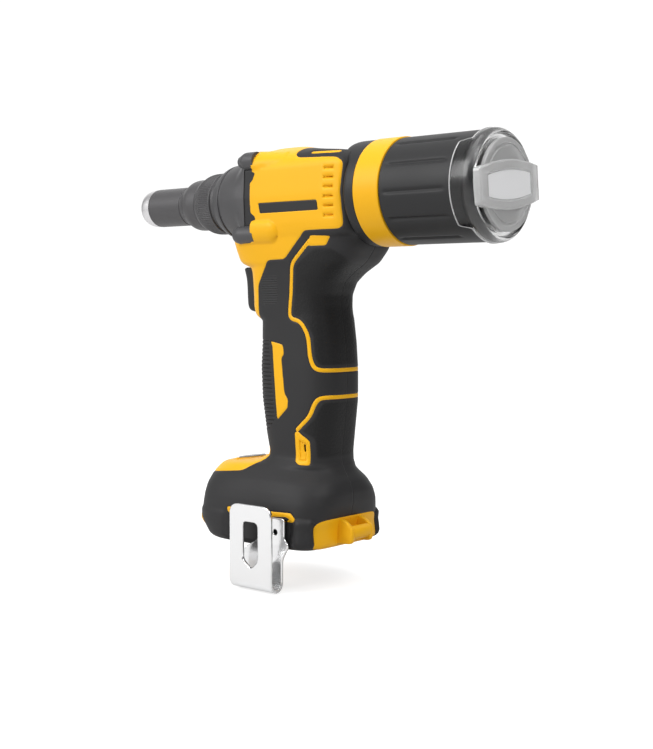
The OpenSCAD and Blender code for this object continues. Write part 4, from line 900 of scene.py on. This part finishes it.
def swellings(table):
    """Height of what stands out behind the bosses of the cover, on the flanks only: a half round over the
    distance to each one's line, the upper one slimmer and lower towards the rear."""
    side = table[:, [PX, PZ]]
    past = np.clip((table[:, PX] - x_body) / swell_l, 0, 1)
    upper_way = gap_to(upper_swell_line, side, False) / (upper_half - upper_taper * past)
    lower_way = gap_to(lower_swell_line, side, False) / lower_half
    upper = upper_swell * (1 - 0.8 * past) * np.sqrt(np.clip(1 - upper_way ** 2, 0, 1))
    lower = lower_swell * np.sqrt(np.clip(1 - lower_way ** 2, 0, 1))
    return (upper + lower) * ease((np.abs(table[:, NY]) - 0.2) / 0.3)


rear_lobe, front_lobe, toe_lip, wall_set = 2.6, 0.9, 2.2, 1.5
rear_lobe_x, front_lobe_x, lobe_top = x_body + 46.5, x_body - 9, z_base + 18.2
wall_front, wall_rear = x_body - 8, x_body + 47


def foot_lobes(table):
    """Height of the foot's corners below the side ledge: lobes at the rear and the front and a lip round the
    toe, all eased off towards the bottom edge, and the side walls set back between the lobes."""
    x, y, z = table[:, PX], table[:, PY], table[:, PZ]
    low_part, off_base = ease((lobe_top - z) / 2.5), ease((z - z_base) / 3.5)
    corner = low_part * off_base * ease((np.abs(y) - heel_half + 0.4) / 1.2)
    rear = rear_lobe * corner * ease((x - rear_lobe_x) / 3)
    front = front_lobe * corner * ease((front_lobe_x - x) / 2.5)
    toe = toe_lip * ease(-zone(toe_wall, table[:, [PX, PZ]], toe_turn) / 2.5) * off_base
    flank = low_part * ease((np.abs(table[:, NY]) - 0.45) / 0.3)
    wall_in = wall_set * flank * ease((x - wall_front) / 3) * ease((wall_rear - x) / 3)
    return rear + front + toe - wall_in


def relief(table):
    """How far each point moves out along its normal."""
    return swellings(table) + foot_lobes(table) - grooves(table)


# %% Cuts along the fields
table = moulding_fields(moulding, moulding_normal)
tris = halves(grid_quads(*moulding.shape[:2]))
cuts = ((YELLOW, (-seam_half, -seam_mid, 0.0, seam_mid, seam_half)), (LABEL_AND_SLOT_SHADE, (0.0,)),
        (VENT, (vent_lip, 0.0, -vent_edge)), (HOLE, (0.0,)), (PART, (-parting_half,)),
        (RECESS, (0.0, -recess_edge)))
for column, stops in cuts:
    for level in stops:
        table, tris = cut(table, tris, column, level)
middle = table[tris].mean(1)
tris = tris[middle[:, HOLE] > 0]
print("moulding after cuts", len(table), "points", len(tris), "triangles")

# %% [markdown]
# The right half is the mirror image of the left, but it has the wells of the six screws that hold the halves
# together, so it gets those cuts as well.

# %% Shell, skin and label strip
screw_sites = np.array([[x_rear - 13, -33], [x_body - 8, -33], [x_body + 27, z_chin - 43],
                        [x_body + 27, z_chin - 85], [x_body + 27, z_chin - 113], [x_toe + 20, z_base + 30]])
well_r, shell_wall = 3.2, 1.2
for hand, sign in (("left", 1), ("right", -1)):
    part, faces = table, tris
    if hand == "right":
        wells = np.min([np.hypot(part[:, PX] - x, part[:, PZ] - z) for x, z in screw_sites], 0) - well_r
        part = np.column_stack([part, wells])
        part, faces = cut(part, faces, part.shape[1] - 1, 0.0)
        faces = faces[part[faces].mean(1)[:, -1] > 0]
    placed = part[:, :3] + relief(part)[:, None] * part[:, NX:NZ + 1]
    placed[:, 1] *= sign
    faces = faces if sign > 0 else faces[:, ::-1]
    middle = part[faces].mean(1)
    # Faces of the black label strip and of the lower slot, whose black is painted shade.
    is_label_and_slot_shade = middle[:, LABEL_AND_SLOT_SHADE] < 0
    is_yellow = (middle[:, YELLOW] < 0) & ~is_label_and_slot_shade
    is_skin = ~is_yellow & ~is_label_and_slot_shade
    for name, pick, look, slot, nodes in (
            ("yellow_shell_", is_yellow, yellow, "yellow_plastic", ("housing_" + hand,)),
            ("soft_skin_", is_skin, rubber, "black_rubber", ("skin_" + hand, "foot_skin_" + hand)),
            ("label_strip_and_slot_shade_", is_label_and_slot_shade, gloss_label_and_slot_shade, "black_plastic", ())):
        points, picked = used(np.column_stack([placed, part[:, [PEBBLE, LINES]]]), faces[pick])
        piece = make_piece(name + hand, points[:, :3], picked, look, slot=slot, stands_for=nodes, sharp=0,
                           turn=False, marks={"pebble": points[:, 3], "lines": points[:, 4]})
        wall(piece, shell_wall)

# %% [markdown]
# ## The turned nose
# The nose is a stack of turned parts: a bright nosepiece, a blackened sleeve with a swelling step, a ring
# with fine straight knurling and a plain collar. A lathe makes them from a profile, and so does this cell:
# each outline of (x, r) is carried round the barrel axis. The knurling is a wave in the radius, so it is
# real relief.

# %% Turned nose
x_sleeve, x_knurl, x_collar = (low(node)[0] for node in ("nose_sleeve", "knurled_ring", "front_collar"))
bore_r, knurl_n, knurl_depth = 1.6, 96, 0.45


def lathe(name, path, radius, look, slot, node, count=192, bend=None, step=1.5, body="housing"):
    """A piece turned on the barrel axis from an outline with eased corners, closed along its bore."""
    profile = stepped(rounded(path, radius, closed=False), step)
    nodes = (node,) if node else ()
    return make_piece(name, *turned(profile, count, bend), look, body, slot, nodes, sharp=35)


def knurled(x, r, a):
    """Straight teeth: between the ends of the ring the radius drops by depth (1 - cos(n a)) / 2."""
    ends = ease((x - x_knurl - 1.5) / 0.8) * ease((x_knurl + 15.6 - x) / 0.8) * (r > 17)
    return x, r - knurl_depth * ends * (0.5 - 0.5 * np.cos(knurl_n * a))


nosepiece_path = [[0, bore_r], [0, 9.6], [0.8, 10.9], [3, 12.1], [6, 12.7], [x_sleeve + 0.2, 12.8],
                  [x_sleeve + 0.2, bore_r]]
lathe("bright_nosepiece", nosepiece_path, [0, 0.6, 1, 2, 2, 0, 0], bright, "bright_steel", "nosepiece")
sleeve_path = [[x_sleeve + 0.3, 9], [x_sleeve + 0.3, 12.9], [x_sleeve + 30.4, 12.9], [x_sleeve + 30.7, 12.5],
               [x_sleeve + 31.2, 12.5], [x_sleeve + 31.5, 12.9], [x_sleeve + 33.8, 13.1],
               [x_sleeve + 36.6, 15.2], [x_sleeve + 40.5, 16.9], [x_knurl - 1.6, 16.9], [x_knurl - 1.4, 16.5],
               [x_knurl + 8, 16.5], [x_knurl + 8, 9]]
sleeve_turn = [0, 0.9, 0.2, 0.1, 0.1, 0.2, 2, 2.5, 3, 0.2, 0, 0, 0]
lathe("blackened_sleeve", sleeve_path, sleeve_turn, dark_steel, "blackened_steel", "nose_sleeve")
ring_path = steps_from(x_knurl, 0, (-1.3, 15), (-1.3, 17), (1.5, 18), (6, 20.1), (16, 20.1), (16.5, 19),
                       (19.8, 19), (19.8, 15))
lathe("knurled_nose_ring", ring_path, [0, 0.3, 2, 4, 0.5, 0.2, 0, 0], dark_steel, "blackened_steel",
      "knurled_ring", count=knurl_n * 8, bend=knurled, step=0.7)
collar_path = steps_from(x_collar, 0, (-1, 17), (-1, 20.2), (1.4, 22.3), (6, 24.1), (7.5, 24.2),
                         (7.7, 23.6), (9.3, 23.6), (9.3, 17))
lathe("plain_nose_collar", collar_path, [0, 0.8, 3, 3, 0.3, 0.1, 0, 0], casting, "nose_casting",
      "front_collar")

# %% [markdown]
# The cast cover changes from a round dome at the collar to the body's own section where the yellow begins.
# Joining a dome and a box would leave a hard line, so its radius blends the two round the barrel axis. A
# black band, a little sunk, closes the step between its rear edge and the yellow. Four screw bosses stand at
# its corners, slim ones above and blunt ones below, each turned about its own line.

# %% Nose cover
x_cover, cover_wall = low("nose_cover")[0], 2.0
boss_y, boss_z, boss_r, boss_bore = 24.3, 22.8, 5.7, 3.5


def body_radius(angle, at=x_body + 3, chin=-24.0):
    """Distance from the barrel axis to the moulding's section at a station, by polar angle from +Y. The
    section is cut off level above the chin."""
    z = np.r_[np.linspace(level_table[0, 0] - 0.05, chin + 0.1, 200), chin]
    front, rear, half, power = level_at(z)
    y = np.r_[0.0, half * ellipse_share((at - (front + rear) / 2) / ((rear - front) / 2), power), 0.0]
    z = np.r_[z[0], z, z[-1]]
    around = np.arctan2(z, y)
    order = np.argsort(around)
    folded = np.arctan2(np.sin(angle), np.abs(np.cos(angle)))
    return np.interp(folded, around[order], np.hypot(y, z)[order])


dome_r, dome_rise, dome_l, blend_x, blend_l = 24.5, 3.3, 23, x_body - 14, 11


def hooded(x, r, a):
    """The dome's radius eased into the body's section; r counts from that surface."""
    dome = dome_r + dome_rise * np.sin(np.pi / 2 * np.clip((x - x_cover) / dome_l, 0, 1))
    share = ease((x - blend_x) / blend_l)
    return x, r + dome * (1 - share) + (body_radius(a) - 0.3) * share


hood_end, band_end, band_sink = x_body - 2.9, x_body + 12, -0.6
hood_path = [[x_cover, -cover_wall], [x_cover, 0], [hood_end, 0], [hood_end, -cover_wall]]
lathe("nose_cover_hood", hood_path, [0, 0.6, 0.3, 0], casting, "nose_casting", "nose_cover", count=288,
      bend=hooded, step=1.0)
band_path = [[hood_end - 1.5, band_sink - cover_wall], [hood_end - 1.5, band_sink], [band_end, band_sink],
             [band_end, band_sink - cover_wall]]
lathe("nose_cover_band", band_path, 0, plastic, "nose_casting", None, count=288, bend=hooded, step=1.0)


# %% Screw bosses of the cover


def boss(path, turn):
    """A screw boss turned about its own line: an outline of (x, r) from its nose to its seat and back along
    its bore."""
    path = path + [[x_body + 6.5, boss_r], [x_body + 6.5, boss_bore], [x_body - 7.5, boss_bore]]
    return turned(stepped(rounded(path, turn + [0.3, 0, 0], closed=False), 1.2), 64)


slim_path = [[x_body - 8.4, 2.6], [x_body - 8, 3.1], [x_body - 6.8, 3.7], [x_body - 2.4, boss_r]]
blunt_path = [[x_body - 12.6, 2.4], [x_body - 12.4, 3.6], [x_body - 11.4, 4.7], [x_body - 8, boss_r]]
slim_boss, blunt_boss = boss(slim_path, [0, 0.3, 0.8, 1.5]), boss(blunt_path, [0, 0.5, 1, 2])
for name, y, z, (points, faces) in (("upper_left", -1, 1, slim_boss), ("upper_right", 1, 1, slim_boss),
                                    ("lower_left", -1, -1, blunt_boss), ("lower_right", 1, -1, blunt_boss)):
    make_piece("cover_boss_" + name, points + [0, y * boss_y, z * boss_z], faces, casting,
               slot="nose_casting", sharp=35)

# %% [markdown]
# ## The mandrel container
# Behind the body come a black collar, a yellow bayonet ring and the twist-off container with a clear cap. All
# are turned, but the cap's skirt has two tongues that reach forward into the barrel, so along that edge x
# itself depends on the angle. Twelve shallow grooves give the hand a hold.

# %% Mandrel container
x_ring, x_barrel = low("yellow_ring")[0] + 1.2, high("yellow_ring")[0] - 0.8
x_cap, ring_r = high("container_barrel")[0], -low("yellow_ring")[1]
x_end = x_cap + 7.0
barrel_r, skirt_r, tongue = ring_r - 0.7, ring_r - 2.4, 7.5
groove_n, groove_depth, groove_half, groove_at = 12, 0.9, 1.1, math.radians(5)
tongue_half, tongue_ease = math.radians(48), math.radians(6)


def skirt_edge(a):
    """Front edge of the cap's skirt: tongue mm further forward to either side of the Y axis, up to the
    tongue's half angle."""
    off = np.abs((a + np.pi / 2) % np.pi - np.pi / 2)
    return x_cap - tongue * ease((tongue_half - off) / tongue_ease + 0.5)


def grooved(x, r, a):
    """The barrel: grooves of bell section, depth exp(-(d / w)^2), and a rear end that gives way to the
    skirt."""
    spacing = 2 * np.pi / groove_n
    off = (a - groove_at + spacing / 2) % spacing - spacing / 2
    ends = ease((x - x_barrel - 3.5) / 1.5) * ease((x_cap - tongue - 4.5 - x) / 1.5) * (r > barrel_r - 1)
    moved = np.where((r > skirt_r - 0.5) & (x > x_cap - 0.5), skirt_edge(a) - 0.25, x)
    return moved, r - groove_depth * ends * np.exp(-(off * barrel_r / groove_half) ** 2)


def lipped(x, r, a):
    """The collar's front end, drawn forward over the top of the body by up to lip mm."""
    lip, start = 9.0, x_ring - 0.2
    reach = lip * ease((np.sin(a) - 0.5) / 0.4) * ease((r - 24) / 3)
    return start - (start - x) * (1 + reach / (start - x_rear - 0.1)), r


# %% Collar, ring and barrel
rear_path = [[x_rear + 0.1, 20], [x_rear + 0.1, barrel_r + 0.3], [x_ring - 0.2, barrel_r + 0.3],
             [x_ring - 0.2, 20]]
lathe("black_rear_collar", rear_path, [0, 2.6, 0.5, 0], plastic, "black_plastic", "rear_collar", bend=lipped)
bayonet_path = [[x_ring, ring_r - 4], [x_ring, ring_r], [x_barrel, ring_r], [x_barrel, ring_r - 4]]
lathe("yellow_bayonet_ring", bayonet_path, [0, 0.7, 0.7, 0], yellow, "yellow_plastic", "yellow_ring")
barrel_path = [[x_barrel - 13, ring_r - 6.2], [x_barrel - 13, ring_r - 3.4], [x_barrel + 0.4, ring_r - 3.4],
               [x_barrel + 0.4, barrel_r], [x_cap, barrel_r], [x_cap, skirt_r - 0.4],
               [x_cap + 0.1, skirt_r - 0.4], [x_cap + 0.1, ring_r - 4], [x_barrel + 3.3, ring_r - 4],
               [x_barrel + 3.3, ring_r - 6.2]]
lathe("grooved_barrel", barrel_path, [0, 0, 0, 0.6, 0.3, 0, 0, 0, 0, 0], plastic, "black_plastic",
      "container_barrel", count=720, bend=grooved, body="container")

# %% [markdown]
# The clear cap is one moulding on the real tool: skirt, rounded rim, a deep groove and a raised disc with a
# grip bar across it. Here it is a few pieces, so that each can be as clear or as milky as it looks: the rim
# with a bead along the skirt's edge, the disc on its wall, and the bar. A black seat ring shows through the
# groove. All are turned but the bar, which is a height over its crowned outline: up at its edge by a quarter
# round, along a frame, and down again to the bare panel in its middle.

# %% Clear cap
disc_r, disc_x = ring_r - 6, x_end + 3.3


def skirted(x, r, a):
    """The cap's profile with its front edge moved to the skirt's own edge."""
    return np.where((r > skirt_r - 0.3) & (x < x_cap + 0.7), skirt_edge(a) + (x - x_cap), x), r


def edged(x, r, a):
    """The bead, moved along with the skirt's edge."""
    return x - x_cap + skirt_edge(a), r


cap_path = [[x_cap, skirt_r], [x_cap, ring_r], [x_end - 2.2, ring_r], [x_end, ring_r - 2],
            [x_end, ring_r - 3.2], [x_end - 2, ring_r - 3.7], [x_end - 2, disc_r + 0.4],
            [x_end - 3, disc_r - 0.4], [x_end - 3, skirt_r - 3], [x_cap + 0.8, skirt_r]]
lathe("clear_cap_rim", cap_path, [0, 0.35, 2.5, 0.8, 0.3, 0.4, 0.3, 0, 1, 0], clear, "clear_plastic",
      "container_cap", count=240, bend=skirted, step=1.6, body="container")
seat_path = [[x_cap + 0.2, disc_r - 1.5], [x_cap + 0.2, skirt_r - 0.7], [x_end - 3.3, skirt_r - 3.4],
             [x_end - 3.3, disc_r - 1.5]]
lathe("container_seat_ring", seat_path, 0, plastic, "black_plastic", None, step=1.6, body="container")
disc_path = [[disc_x - 2.4, disc_r], [disc_x - 0.4, disc_r], [disc_x, disc_r - 0.8], [disc_x, disc_r - 3.2],
             [disc_x - 0.7, disc_r - 3.5], [disc_x - 0.7, disc_r - 4.6], [disc_x, disc_r - 5], [disc_x, 0],
             [disc_x - 2.4, 0]]
disc_turn = [0, 0.4, 0.4, 0.2, 0.2, 0.2, 0.2, 0, 0]
disc_profile = stepped(rounded(disc_path, disc_turn, closed=False), 1.6)
make_piece("clear_cap_disc", *welded(*turned(disc_profile, 240)), clear_disc, "container", "clear_plastic")
wall_path = [[x_end - 2.8, disc_r - 2.4], [x_end - 2.8, disc_r - 0.1], [disc_x - 2.5, disc_r - 0.1],
             [disc_x - 2.5, disc_r - 2.4]]
lathe("clear_disc_wall", wall_path, 0, clear, "clear_plastic", None, step=1.6, body="container")
bead_r = 0.4
turn = np.linspace(0, 2 * np.pi, 12, endpoint=False)
bead = np.stack([x_cap + bead_r * np.cos(turn), ring_r - 0.1 + bead_r * np.sin(turn)], 1)
make_piece("clear_skirt_edge", *turned(bead, 360, edged), clear_edge, "container", "clear_plastic")

# %% Grip bar of the cap
bar_half, bar_mid, bar_crown, bar_face = 30.0, 14.0, 110.0, x_end + 4.6
bar_edge, frame_end, frame_side, panel_sink = 1.4, 7.5, 5.0, 0.8


def crowned(y, inset):
    """Half height of the bar's outline at y: the crown's circle, cut off by the cap's edge, less the
    inset."""
    return np.minimum(bar_mid - bar_crown + np.sqrt((bar_crown - inset) ** 2 - y ** 2),
                      np.sqrt(np.maximum((ring_r - 0.8) ** 2 - y ** 2, 0)) - inset)


def barred(half, inset, cols, rows):
    """A grid (y, z) over the bar's outline less an inset, closer towards its edges."""
    u = np.sin(np.linspace(-np.pi / 2, np.pi / 2, cols))[:, None]
    v = np.sin(np.linspace(-np.pi / 2, np.pi / 2, rows))[None]
    y = half * u + 0 * v
    return y, crowned(y, inset) * v


def across(x, y, z, turn=math.radians(6)):
    """A sheet of points (x, y, z) turned with the bar about the barrel axis."""
    return np.stack([x, y * math.cos(turn) - z * math.sin(turn), y * math.sin(turn) + z * math.cos(turn)], -1)


def grip_bar():
    """Front and back sheets of the bar over (y, z): x is the face level, less a quarter round at the edge and
    less the panel's depth inside the frame. The back follows the disc and steps down beyond it to the rim."""
    y, z = barred(bar_half, 0, 125, 57)
    edge = np.minimum(bar_half - np.abs(y), crowned(y, 0) - np.abs(z))
    frame_in = np.minimum(bar_half - frame_end - np.abs(y), crowned(y, frame_side) - np.abs(z))
    round_off = bar_edge * (1 - np.sqrt(1 - np.clip(1 - edge / bar_edge, 0, 1) ** 2))
    face = bar_face - round_off - panel_sink * ease(frame_in / 0.7)
    rear = np.where(np.hypot(y, z) < disc_r + 0.3, disc_x + 0.05, x_end + 0.1)
    return across(face, y, z), across(np.minimum(rear, face - 0.3), y, z)


def bar_panel(gap_end=1.1, gap_side=1.0, top=0.62, low_side=0.9):
    """Front and back sheets of the bare panel on the floor of the bar's frame, a gap inside it. Its levels
    count down from the bar's face."""
    y, z = barred(bar_half - frame_end - gap_end, frame_side + gap_side, 61, 33)
    return across(0 * y + bar_face - top, y, z), across(0 * y + bar_face - low_side, y, z)


def closed_sheets(front, back):
    """One skin from two grids of the same shape, joined along their borders."""
    rows, cols = front.shape[:2]
    number = np.arange(rows * cols).reshape(rows, cols)
    border = np.concatenate([number[0, :-1], number[:-1, -1], number[-1, :0:-1], number[:0:-1, 0]])
    after = np.roll(border, -1)
    quads = grid_quads(rows, cols)
    rim = np.stack([border, after, after + rows * cols, border + rows * cols], -1)
    faces = np.vstack([quads[:, ::-1], quads + rows * cols, rim])
    return np.vstack([front.reshape(-1, 3), back.reshape(-1, 3)]), faces


make_piece("cap_grip_bar", *closed_sheets(*grip_bar()), clear_bar, "container", "clear_plastic", sharp=50)
make_piece("cap_bar_panel", *closed_sheets(*bar_panel()), pale, "container", "clear_plastic", sharp=50)

# %% [markdown]
# ## Trigger and lamp lens
# A bevelled box would do for a trigger, but the finger's curve runs down its front. So it is a loft: rings
# from top to bottom, each with a blunt rounded nose and flat sides. The lens is a leaf between two arcs, a
# plate with rolled edges that lies on a raised yellow pad of the same form.

# %% Trigger
trigger_w, trigger_nose, trigger_back = 19.0, 12.0, x_body + 17
trigger_gap, trigger_edge = 0.25, 1.6
trigger_front = np.array([[-1.5, -23.8], [-3.5, -23.2], [-8.5, -21.6], [-14.5, -21.0], [-20.5, -20.8],
                          [-25.5, -20.4], [-28.5, -19.4], [-30, -17]])


def trigger_rings(rows=46, arc=41, tail=13, power=0.62, smooth=7):
    """Rings (x, y, z): the nose is x = front + nose (1 - |cos|^p), y = half |sin|^p, and the back is flat.
    The front is averaged over its neighbours, and both ends are drawn in by a quarter round."""
    depth = np.linspace(trigger_front[0, 0], trigger_front[-1, 0], rows)
    front = np.interp(-depth, -trigger_front[:, 0], trigger_front[:, 1])
    front = np.pad(front, smooth // 2, mode="reflect", reflect_type="odd")
    front = np.convolve(front, np.ones(smooth) / smooth, "valid")[:, None]
    edge = np.minimum(depth[0] - depth, depth - depth[-1])[:, None]
    inset = trigger_edge * (1 - np.sqrt(1 - np.clip(1 - edge / trigger_edge, 0, 1) ** 2))
    half = trigger_w / 2 - trigger_gap - 0.6 * inset
    turn = np.linspace(-np.pi / 2, np.pi / 2, arc)
    side = np.sign(np.sin(turn)) * np.abs(np.sin(turn)) ** power
    nose = x_body + front + inset + trigger_nose * (1 - np.abs(np.cos(turn)) ** power)
    x = np.hstack([nose, np.full((rows, tail), trigger_back)])
    y = half * np.r_[side, np.linspace(1, -1, tail)]
    return np.stack([x, y, np.broadcast_to(z_chin + depth[:, None], x.shape)], -1)


make_piece("trigger_blade", *stacked(trigger_rings()), plastic, "trigger_piece", "black_plastic",
           ("trigger",), sharp=50)

# %% Lamp lens and its pad
pad_rows = levels[(levels[:, 0] < z_foot) & (levels[:, 0] > z_foot - 12)][::-1]
lens_x, lens_l, lens_w = x_toe + 19, 25.0, 12.5
lens_ends = np.interp([lens_x - lens_w / 2, lens_x + lens_w / 2], pad_rows[:, 1], pad_rows[:, 0])
# The shell's surface lies this far above its level rows on the pad.
lens_rise = 1.3
lens_place = np.array([lens_x, 0, lens_ends.mean() + lens_rise])
lens_tilt = math.atan2(np.ptp(lens_ends), lens_w)


def leaf(length, width, count=49):
    """A closed leaf between two arcs of equal radius that meet at its tips, long across the tool."""
    r = (length ** 2 + width ** 2) / (4 * width)
    turn = np.linspace(-1, 1, count) * math.asin(length / 2 / r)
    near = np.stack([width / 2 - r + r * np.cos(turn), r * np.sin(turn)], 1)
    return rounded(np.vstack([near, -near[1:-1]]), 0.4, steps=2)


def leaned(rings):
    """Rings (u, v, level) laid on the pad: u up the slope, v across, level along its normal."""
    u, v, w = np.moveaxis(rings, 2, 0)
    c, s = math.cos(lens_tilt), math.sin(lens_tilt)
    return lens_place + np.stack([u * c - w * s, v, u * s + w * c], -1)


pad_rim = prism(leaf(lens_l + 6, lens_w + 4.5), -2.4, 0.3, edge=0.3)
make_piece("lamp_pad_rim", *stacked(leaned(pad_rim)), yellow, slot="yellow_plastic")
lens = prism(leaf(lens_l, lens_w), -1.5, 0.9, edge=0.4)
make_piece("lamp_lens", *stacked(leaned(lens)), lens_grey, slot="clear_plastic", stands_for=("led_lens",))

# %% [markdown]
# ## Belt hook
# The hook is one strip of bright sheet: an outer leg with a slot, a round bend and an inner leg that is
# jogged towards the bend and screwed to the foot. So it is drawn flat as (x, s), cut by its outlines there,
# and then bent along a path in (y, z) whose length is s. Solidify gives the sheet its 2 mm.

# %% Belt hook
hook_x, hook_t, hook_in = low("belt_hook")[0], 2.0, half_foot + 0.12
hook_out = hook_in + 13.2
bend_r, hook_top, hook_low = 5.7, z_base + 26, z_base - 20.9
bend_y = -hook_out + bend_r


def hook_path():
    """Outer face of the strip in (y, z): down the outer leg, round the bend, up the jogged inner leg."""
    turn = np.linspace(np.pi, 2 * np.pi, 33)
    bend = np.stack([bend_y + bend_r * np.cos(turn), hook_low + bend_r * np.sin(turn)], 1)
    jog = rounded([[bend_y + bend_r, hook_low], [bend_y + bend_r, z_base - 7.5], [-hook_in, z_base + 2.5],
                   [-hook_in, z_base + 18]], 3.0, closed=False)
    return np.vstack([[[-hook_out, hook_top]], bend, jog[6:]])


strip = hook_path()
strip_s = np.r_[0, np.cumsum(np.linalg.norm(np.diff(strip, axis=0), axis=1))]


def level_s(level):
    """Length along the strip at a height on its inner leg."""
    inner = np.arange(len(strip)) > 20
    return np.interp(level, strip[inner, 1], strip_s[inner])


# %% Flat sheet of the hook
hook_w, last_s = 34.0, strip_s[-1]
hook_front, hook_back = hook_x + 0.2, hook_x + 0.2 + hook_w
hook_corners = [[hook_front, 0], [hook_back, 0], [hook_back, level_s(z_base - 7)],
                [hook_back + 4.4, level_s(z_base + 2.3)], [hook_back + 0.7, level_s(z_base + 5.4)],
                [hook_back + 0.7, last_s], [hook_x + 13.7, last_s], [hook_x + 13.5, level_s(z_base + 3)],
                [hook_front + 4.5, level_s(z_base - 2)], [hook_front, level_s(z_base - 8)]]
hook_outline = rounded(hook_corners, [6.5, 6.5, 2.5, 2, 2, 2, 2, 2, 2.5, 3])
slot_top, slot_low = 10.2, 34.0
slot_corners = [[hook_front + 10.4, slot_top], [hook_front + 23.6, slot_top], [hook_front + 23.6, slot_low],
                [hook_front + 17.5, slot_low + 5.5], [hook_front + 10.4, slot_low]]
hook_slot = rounded(slot_corners, [3.5, 3.5, 2.0, 3.0, 2.0])
hole_x, hole_s, hole_r, screw_r = hook_front + 27.6, level_s(z_base + 9.2), 2.0, 2.1
sheet_step = 0.8
along, run = np.meshgrid(np.arange(hook_front - 0.5, hook_back + 5.2, sheet_step),
                         np.unique(np.r_[np.arange(0, last_s, sheet_step), strip_s, last_s]), indexing="ij")
flat = np.stack([along.ravel(), run.ravel()], 1)
sheet = np.column_stack([flat, zone(hook_outline, flat), -zone(hook_slot, flat),
                         hole_r - np.hypot(flat[:, 0] - hole_x, flat[:, 1] - hole_s),
                         screw_r - np.hypot(flat[:, 0] - insert_x, flat[:, 1] - level_s(insert_z))])
sheet_faces = halves(grid_quads(*along.shape))
for column in (2, 3, 4, 5):
    sheet, sheet_faces = cut(sheet, sheet_faces, column, 0.0, snap=0.02)
sheet_faces = sheet_faces[(sheet[sheet_faces].mean(1)[:, 2:] < 0).all(1)]
sheet, sheet_faces = used(sheet, sheet_faces)
bent_y, bent_z = (np.interp(sheet[:, 1], strip_s, column) for column in strip.T)
bent = np.stack([sheet[:, 0], bent_y, bent_z], 1)
hook = make_piece("bright_belt_hook", bent, sheet_faces, plate_bright, slot="bright_steel",
                  stands_for=("belt_hook",), turn=False)
wall(hook, hook_t)

# %% [markdown]
# ## Lanyard loop, battery bay and screw wells
# At the heel two cheeks carry a thick bar for a cord. Under the foot lies the bay for a slide-in battery: a T
# section run from the toe to its end wall. On the right side each housing screw sits at the bottom of a well.

# %% Lanyard loop
loop_x, cheek_in, cheek_out = x_heel - 4, 7.5, 10.6
cord_x, cord_z, cord_half_x, cord_half_z = loop_x + 9.9, z_base + 8.2, 3.3, 4.2
cheek = rounded([[loop_x - 5, z_base + 0.4], [loop_x + 12.4, z_base + 1.8], [loop_x + 13.4, z_base + 10.6],
                 [loop_x + 7.6, z_base + 15.6], [loop_x + 1, z_base + 17], [loop_x - 5, z_base + 17]],
                [0.3, 2.5, 3.5, 3, 1, 0.3], steps=7)
for hand, sign in (("left", -1), ("right", 1)):
    ring = prism(cheek, *sorted((sign * cheek_in, sign * cheek_out)), 0.9)[..., [0, 2, 1]]
    make_piece("lanyard_cheek_" + hand, *stacked(ring), yellow, slot="yellow_plastic")
turn = np.linspace(0, 2 * np.pi, 48, endpoint=False)
bar = np.stack([cord_x + cord_half_x * np.cos(turn), cord_z + cord_half_z * np.sin(turn)], 1)
bar_rings = prism(bar, -cheek_in - 0.6, cheek_in + 0.6, 0.2)[..., [0, 2, 1]]
make_piece("lanyard_bar", *stacked(bar_rings), yellow, slot="yellow_plastic")

# %% Battery bay
bay_inset = 0.3
bay_low = z_base + bay_inset
bay_path = [[-mouth_half, bay_low], [-mouth_half, rail_top], [-bay_half, rail_top], [-bay_half, bay_top],
            [bay_half, bay_top], [bay_half, rail_top], [mouth_half, rail_top], [mouth_half, bay_low]]
bay_y, bay_z = stepped(rounded(bay_path, 0.8, closed=False), 2.0).T


def front_x(y, z):
    """Front of the moulding at (y, z), from the superellipse of that level."""
    front, rear, half, power = level_at(z)
    return (front + rear) / 2 - (rear - front) / 2 * ellipse_share(y / half, power)


share = np.linspace(0, 1, 25)[:, None]
bay_x = (front_x(bay_y, bay_z) + bay_inset) * (1 - share) + bay_end * share
bay = np.stack(np.broadcast_arrays(bay_x, bay_y, bay_z), -1)
end_middle = np.broadcast_to([bay_end, 0.0, bay_top - 1], bay[:1].shape)
bay = np.concatenate([bay, end_middle])
bay_points, bay_faces = welded(bay.reshape(-1, 3), grid_quads(*bay.shape[:2]))
bay_piece = make_piece("battery_bay", bay_points, bay_faces, yellow, slot="yellow_plastic", turn=False)
wall(bay_piece, -shell_wall)

# %% Screw wells
well_depths, well_sides, well_wall = np.array([0.1, 3.0, 7.0]), 40, 0.8
flank_y = -6
turn = np.linspace(0, 2 * np.pi, well_sides, endpoint=False)
rings = []
for x, z in screw_sites:
    away = np.hypot(moulding[..., 0] - x, moulding[..., 2] - z)
    near = np.argmin(np.where(moulding[..., 1] > flank_y, np.inf, away))
    y = -moulding.reshape(-1, 3)[near, 1] - well_depths[:, None]
    well = np.broadcast_arrays(x + well_r * np.cos(turn), y, z + well_r * np.sin(turn))
    rings.append(np.stack(well, -1))
rows = len(well_depths)
well_faces = [grid_quads(rows, well_sides, wrap=True) + k * rows * well_sides for k in range(len(rings))]
wells = make_piece("screw_wells", np.concatenate(rings).reshape(-1, 3), np.vstack(well_faces), plastic,
                   slot="black_plastic", turn=False)
wall(wells, well_wall)

# %% [markdown]
# ## Finishes of the solids that stay
# Screws, bearings, gears and the other inner parts already have their true shape, so they keep it and only
# get a finish.

# %% Finishes of the other solids
looks = {"hook_screw": bright, "hook_inserts": brass, "stator": copper, "fan": plastic,
         "end_bell": plastic, "switch_body": plastic, "control_board": board, "terminal_block": plastic}
steel_nodes = ("housing_screws", "cover_screws", "jaw_case", "jaw_1", "jaw_2", "jaw_3", "jaw_pusher",
               "drive_screw", "drive_nut", "nut_bearings", "ring_gear", "planet_1", "planet_2", "planet_3",
               "motor_bearings", "mandrel_tube", "gear_case", "rotor")
looks.update({node: steel for node in steel_nodes})
for node, look in looks.items():
    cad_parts[node].data.materials.clear()
    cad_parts[node].data.materials.append(look)
print(len(looks), "solids keep their shape")
